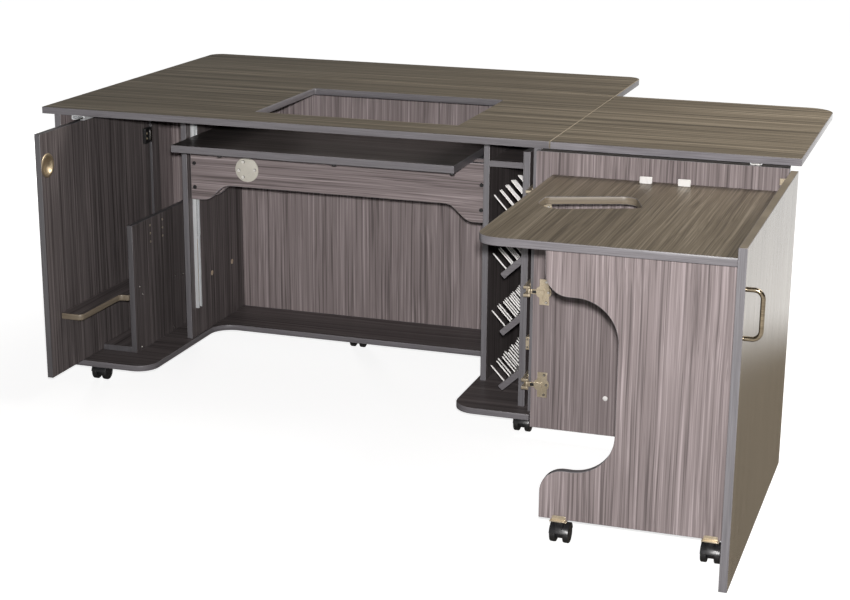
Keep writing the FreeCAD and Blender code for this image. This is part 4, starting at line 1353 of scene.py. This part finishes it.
@dataclass
class Casters(Assembly):
    """Twin-wheel casters under the base board and the side table."""

    names: tuple = ("left_front", "right_front", "knee", "left_rear", "right_rear", "wing_left", "wing_right")
    wheel_width: float = 0.0135
    fillet: float = 0.0025
    hub_profile: tuple = ((0.0, 0.76), (0.0012, 0.72), (0.0012, 0.46), (0.0002, 0.40), (0.0002, 0.0))
    axle_radius: float = 0.003
    screw_inset: float = 0.0055

    def build(self) -> None:
        """Dress the hoods, turn the wheels and screw on the plates."""
        f, inset = self.finishes, self.screw_inset
        for name in self.names:
            dress("caster_hood_" + name, "caster_hood_shell_" + name, f.black_plastic, 0.0005)
            self.wheels(name)
        for node in ("caster_plates", "wing_caster_plates"):
            dress(node, node + "_steel", f.nickel, 0.0006)
            spots = [(Vector((x, y, low.z)), -Z_AXIS) for low, high in islands(node)
                     for x in (low.x + inset, high.x - inset) for y in (low.y + inset, high.y - inset)]
            self.fasteners.small_screw.grow(node + "_screws", spots, f.screw_steel, body_of(node),
                                            "nickel_steel")

    def wheels(self, name: str) -> None:
        """Two turned wheels with hub caps on one axle.

        Args:
            name: Name of the caster.
        """
        node = "caster_wheels_" + name
        low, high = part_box(node)
        radius, width, fillet = (high.z - low.z) / 2, self.wheel_width, self.fillet
        middle = (low + high) / 2
        gap = (high.x - low.x) / 2 - width
        arc = [(fillet * (1 - math.cos(i * math.pi / 8)), radius - fillet * (1 - math.sin(i * math.pi / 8)))
               for i in range(5)]
        face = [(width - along, r) for along, r in reversed(arc)]
        hub = [(width - sunk, radius * share) for sunk, share in self.hub_profile]
        marks = [0] * (len(arc) + len(face)) + [1] * len(hub)
        mesh = bmesh.new()
        for way in (-1, 1):
            inner = Vector((middle.x + way * gap, middle.y, middle.z))
            lathe(mesh, [(0.0, 0.0)] + arc + face + hub, inner, X_AXIS * way, 40, marks)
        axle = [(-gap, 0.0), (-gap, self.axle_radius), (gap, self.axle_radius), (gap, 0.0)]
        lathe(mesh, axle, middle, X_AXIS, 16, [1, 1, 1])
        mark_sharp(mesh)
        piece = new_piece("caster_tyres_" + name, mesh, [self.finishes.tyre, self.finishes.black_plastic])
        settle(piece, "wheels_" + name, "tyre_rubber", node)


@dataclass
class DropLeafSupport(Assembly):
    """Hinges, bracket arms, struts and tracks of the drop leaf."""

    long_from: float = 0.1
    sunk: float = 0.002
    inset: float = 0.010
    track_rises: tuple = (0.03, 0.165, 0.30)
    arm_insets: tuple = (0.02, 0.015)
    arm_shift: float = 0.002
    arm_sunk: float = 0.005

    def build(self) -> None:
        """Dress the metal parts and screw them to the boards."""
        zinc, steel = self.finishes.zinc_level, self.finishes.screw_steel
        dress("drop_hinge_fixed", "drop_hinge_fixed_leaves", zinc, 0.0004)
        dress("drop_hinge_moving", "drop_hinge_moving_leaves", zinc, 0.0004)
        dress("leaf_struts", "leaf_strut_bars", zinc, 0.0006)
        fixed, moving = [], []
        for low, high in islands("drop_hinge_fixed"):
            if high.z - low.z > self.long_from:
                fixed += [(Vector(((low.x + high.x) / 2, low.y + self.sunk, low.z + rise)), Y_AXIS)
                          for rise in self.track_rises]
            else:
                fixed += self.leaf_screws(low, high, low.y + self.inset)
        near, far = self.arm_insets
        for low, high in islands("drop_hinge_moving"):
            if high.y - low.y > self.long_from:
                x, z = (low.x + high.x) / 2 - self.arm_shift, high.z - self.arm_sunk
                moving += [(Vector((x, y, z)), -Z_AXIS) for y in (low.y + near, high.y - far)]
            else:
                moving += self.leaf_screws(low, high, high.y - self.inset)
        screw = self.fasteners.wood_screw
        screw.grow("drop_hinge_fixed_screws", fixed, steel, "cabinet", "nickel_steel")
        screw.grow("drop_hinge_moving_screws", moving, steel, "rear_leaf", "nickel_steel")

    def leaf_screws(self, low: Vector, high: Vector, y: float) -> list[Spot]:
        """Three screw spots in a row under one hinge leaf."""
        return [(Vector((x, y, high.z - self.sunk)), -Z_AXIS)
                for x in (low.x + self.inset, (low.x + high.x) / 2, high.x - self.inset)]


@dataclass(frozen=True)
class Lamp:
    """Square soft lamp: where it stands, the point that it faces, its side, its watts and its tint."""

    name: str
    place: tuple
    target: tuple
    size: float
    power: float
    tint: tuple

    def build(self) -> None:
        """Hang the lamp, out of the camera's sight."""
        data = bpy.data.lights.new(self.name, "AREA")
        data.size, data.energy, data.color = self.size, self.power, self.tint
        lamp = link(self.name, data)
        lamp.location = self.place
        lamp.visible_camera = False
        lamp.rotation_euler = (Vector(self.target) - Vector(self.place)).to_track_quat("-Z", "Y").to_euler()


@dataclass
class Studio:
    """Pale floor, soft lamps, plain surroundings and the camera of the photograph."""

    image: tuple = (850, 600)
    focal_px: float = 1772.44
    centre_px: tuple = (432.97, 326.87)
    camera_at: tuple = (2.4508, -4.1239, 1.5726)
    yaw: float = math.radians(18.131)
    pitch: float = math.radians(16.764)
    roll: float = math.radians(0.489)
    sensor: float = 36.0
    floor_half: float = 30.0
    floor_near: float = 0.78
    floor_reach: tuple = (1.0, 2.2)
    mirror_near: float = 0.02
    mirror_reach: tuple = (1.25, 1.75)
    floor_colour: Colour = (0.50, 0.50, 0.50, 1.0)
    mirror_colour: Colour = (0.20, 0.17, 0.13, 1.0)
    wall_colour: Colour = (0.22, 0.21, 0.185, 1.0)
    wall_from: float = 0.16
    fill: float = 0.02
    lamps: tuple = (
        Lamp("key_lamp", tuple(at(2.45, -4.10, 1.665)), (0.1, 0.0, 0.35), 0.08, 206.0, (1.0, 0.985, 0.975)),
        Lamp("window_lamp", (1.9, 0.7, 2.3), (0.8, 0.2, 0.7), 1.4, 62.0, (1.0, 0.965, 0.905)),
        Lamp("rear_lamp", (-2.4, 3.6, 0.40), (-0.3, 0.6, 0.40), 0.6, 90.0, (1.0, 1.0, 1.0)))

    def build(self) -> None:
        """Set up everything that isn't the cabinet."""
        bpy.context.scene.view_settings.view_transform = "Standard"
        self.floor()
        self.surroundings()
        for lamp in self.lamps:
            lamp.build()
        self.camera()

    def clear_sketch(self, owner: Material | bpy.types.World) -> NodeSketch:
        """Empty the node tree of a material or world.

        Args:
            owner: The material or world.

        Returns:
            Sketch of the empty tree.
        """
        owner.use_nodes = True
        owner.node_tree.nodes.clear()
        return NodeSketch(owner.node_tree)

    def floor(self) -> None:
        """Pale floor that keeps the cabinet's shadow."""
        half = self.floor_half
        mesh = bmesh.new()
        corners = ((-half, -half), (half, -half), (half, half), (-half, half))
        mesh.faces.new([mesh.verts.new((x, y, 0.0)) for x, y in corners])
        material = bpy.data.materials.new("studio_floor")
        sketch = self.clear_sketch(material)
        place = sketch.node("ShaderNodeTexCoord").outputs["Object"]
        away = sketch.node("ShaderNodeVectorMath", {0: place}, operation="LENGTH").outputs["Value"]
        rays = sketch.node("ShaderNodeLightPath").outputs
        bounced = sketch.math("MAXIMUM", rays["Is Glossy Ray"], rays["Is Transmission Ray"])
        colour = sketch.blend(bounced, self.floor_colour, self.mirror_colour)
        matt = sketch.out("ShaderNodeBsdfDiffuse", {"Color": colour})
        strength: object = 0.0
        for share, near, reach in ((rays["Is Camera Ray"], self.floor_near, self.floor_reach),
                                   (bounced, self.mirror_near, self.mirror_reach)):
            level = sketch.math("MULTIPLY_ADD", sketch.steps(away, *reach), 1.0 - near, near)
            strength = sketch.math("MULTIPLY_ADD", share, level, strength)
        glow = sketch.out("ShaderNodeEmission", {"Color": WHITE, "Strength": strength})
        both = sketch.out("ShaderNodeAddShader", {0: matt, 1: glow})
        sketch.node("ShaderNodeOutputMaterial", {"Surface": both})
        new_piece("studio_floor", mesh, [material])

    def surroundings(self) -> None:
        """Warm-grey room that fills the shadows a little and mirrors in the cabinet, white to the camera."""
        world = bpy.data.worlds.new("studio")
        bpy.context.scene.world = world
        sketch = self.clear_sketch(world)
        way = sketch.node("ShaderNodeTexCoord").outputs["Generated"]
        height = sketch.node("ShaderNodeSeparateXYZ", {0: way}).outputs["Z"]
        room = sketch.blend(sketch.steps(height, 0.0, self.wall_from), WHITE, self.wall_colour)
        rays = sketch.node("ShaderNodeLightPath").outputs
        colour = sketch.blend(rays["Is Camera Ray"], room, WHITE)
        seen = sketch.math("MAXIMUM", rays["Is Camera Ray"], rays["Is Glossy Ray"])
        seen = sketch.math("MAXIMUM", seen, rays["Is Transmission Ray"])
        strength = sketch.math("MULTIPLY_ADD", seen, 1.0 - self.fill, self.fill)
        glow = sketch.out("ShaderNodeBackground", {"Color": colour, "Strength": strength})
        sketch.node("ShaderNodeOutputWorld", {"Surface": glow})

    def camera(self) -> None:
        """Camera that stands and looks as the photograph's did."""
        width, height = self.image
        data = bpy.data.cameras.new("camera")
        data.sensor_fit = "HORIZONTAL"
        data.sensor_width = self.sensor
        data.lens = self.focal_px * self.sensor / width
        data.shift_x = (width / 2 - self.centre_px[0]) / width
        data.shift_y = (self.centre_px[1] - height / 2) / width
        camera = link("camera", data)
        flat = math.cos(self.pitch)
        forward = Vector((-math.sin(self.yaw) * flat, math.cos(self.yaw) * flat, -math.sin(self.pitch)))
        level = Vector((math.cos(self.yaw), math.sin(self.yaw), 0.0))
        above = level.cross(forward)
        right = level * math.cos(self.roll) + above * math.sin(self.roll)
        up = above * math.cos(self.roll) - level * math.sin(self.roll)
        turn = Matrix((right, up, -forward)).transposed().to_4x4()
        camera.matrix_world = Matrix.Translation(at(*self.camera_at)) @ turn
        bpy.context.scene.camera = camera


ASSEMBLIES = (Worktops, Carcass, StorageBay, PocketDoor, ThreadRack, MachineLift, SideTable, Casters,
              DropLeafSupport)


def main() -> None:
    """Build every sub-assembly and the studio."""
    logging.basicConfig(level=logging.INFO, format="%(name)s: %(message)s")
    finishes, fasteners = Finishes(), Fasteners()
    for assembly in ASSEMBLIES:
        assembly(finishes, fasteners).build()
    Studio().build()


if __name__ == "__main__":
    main()
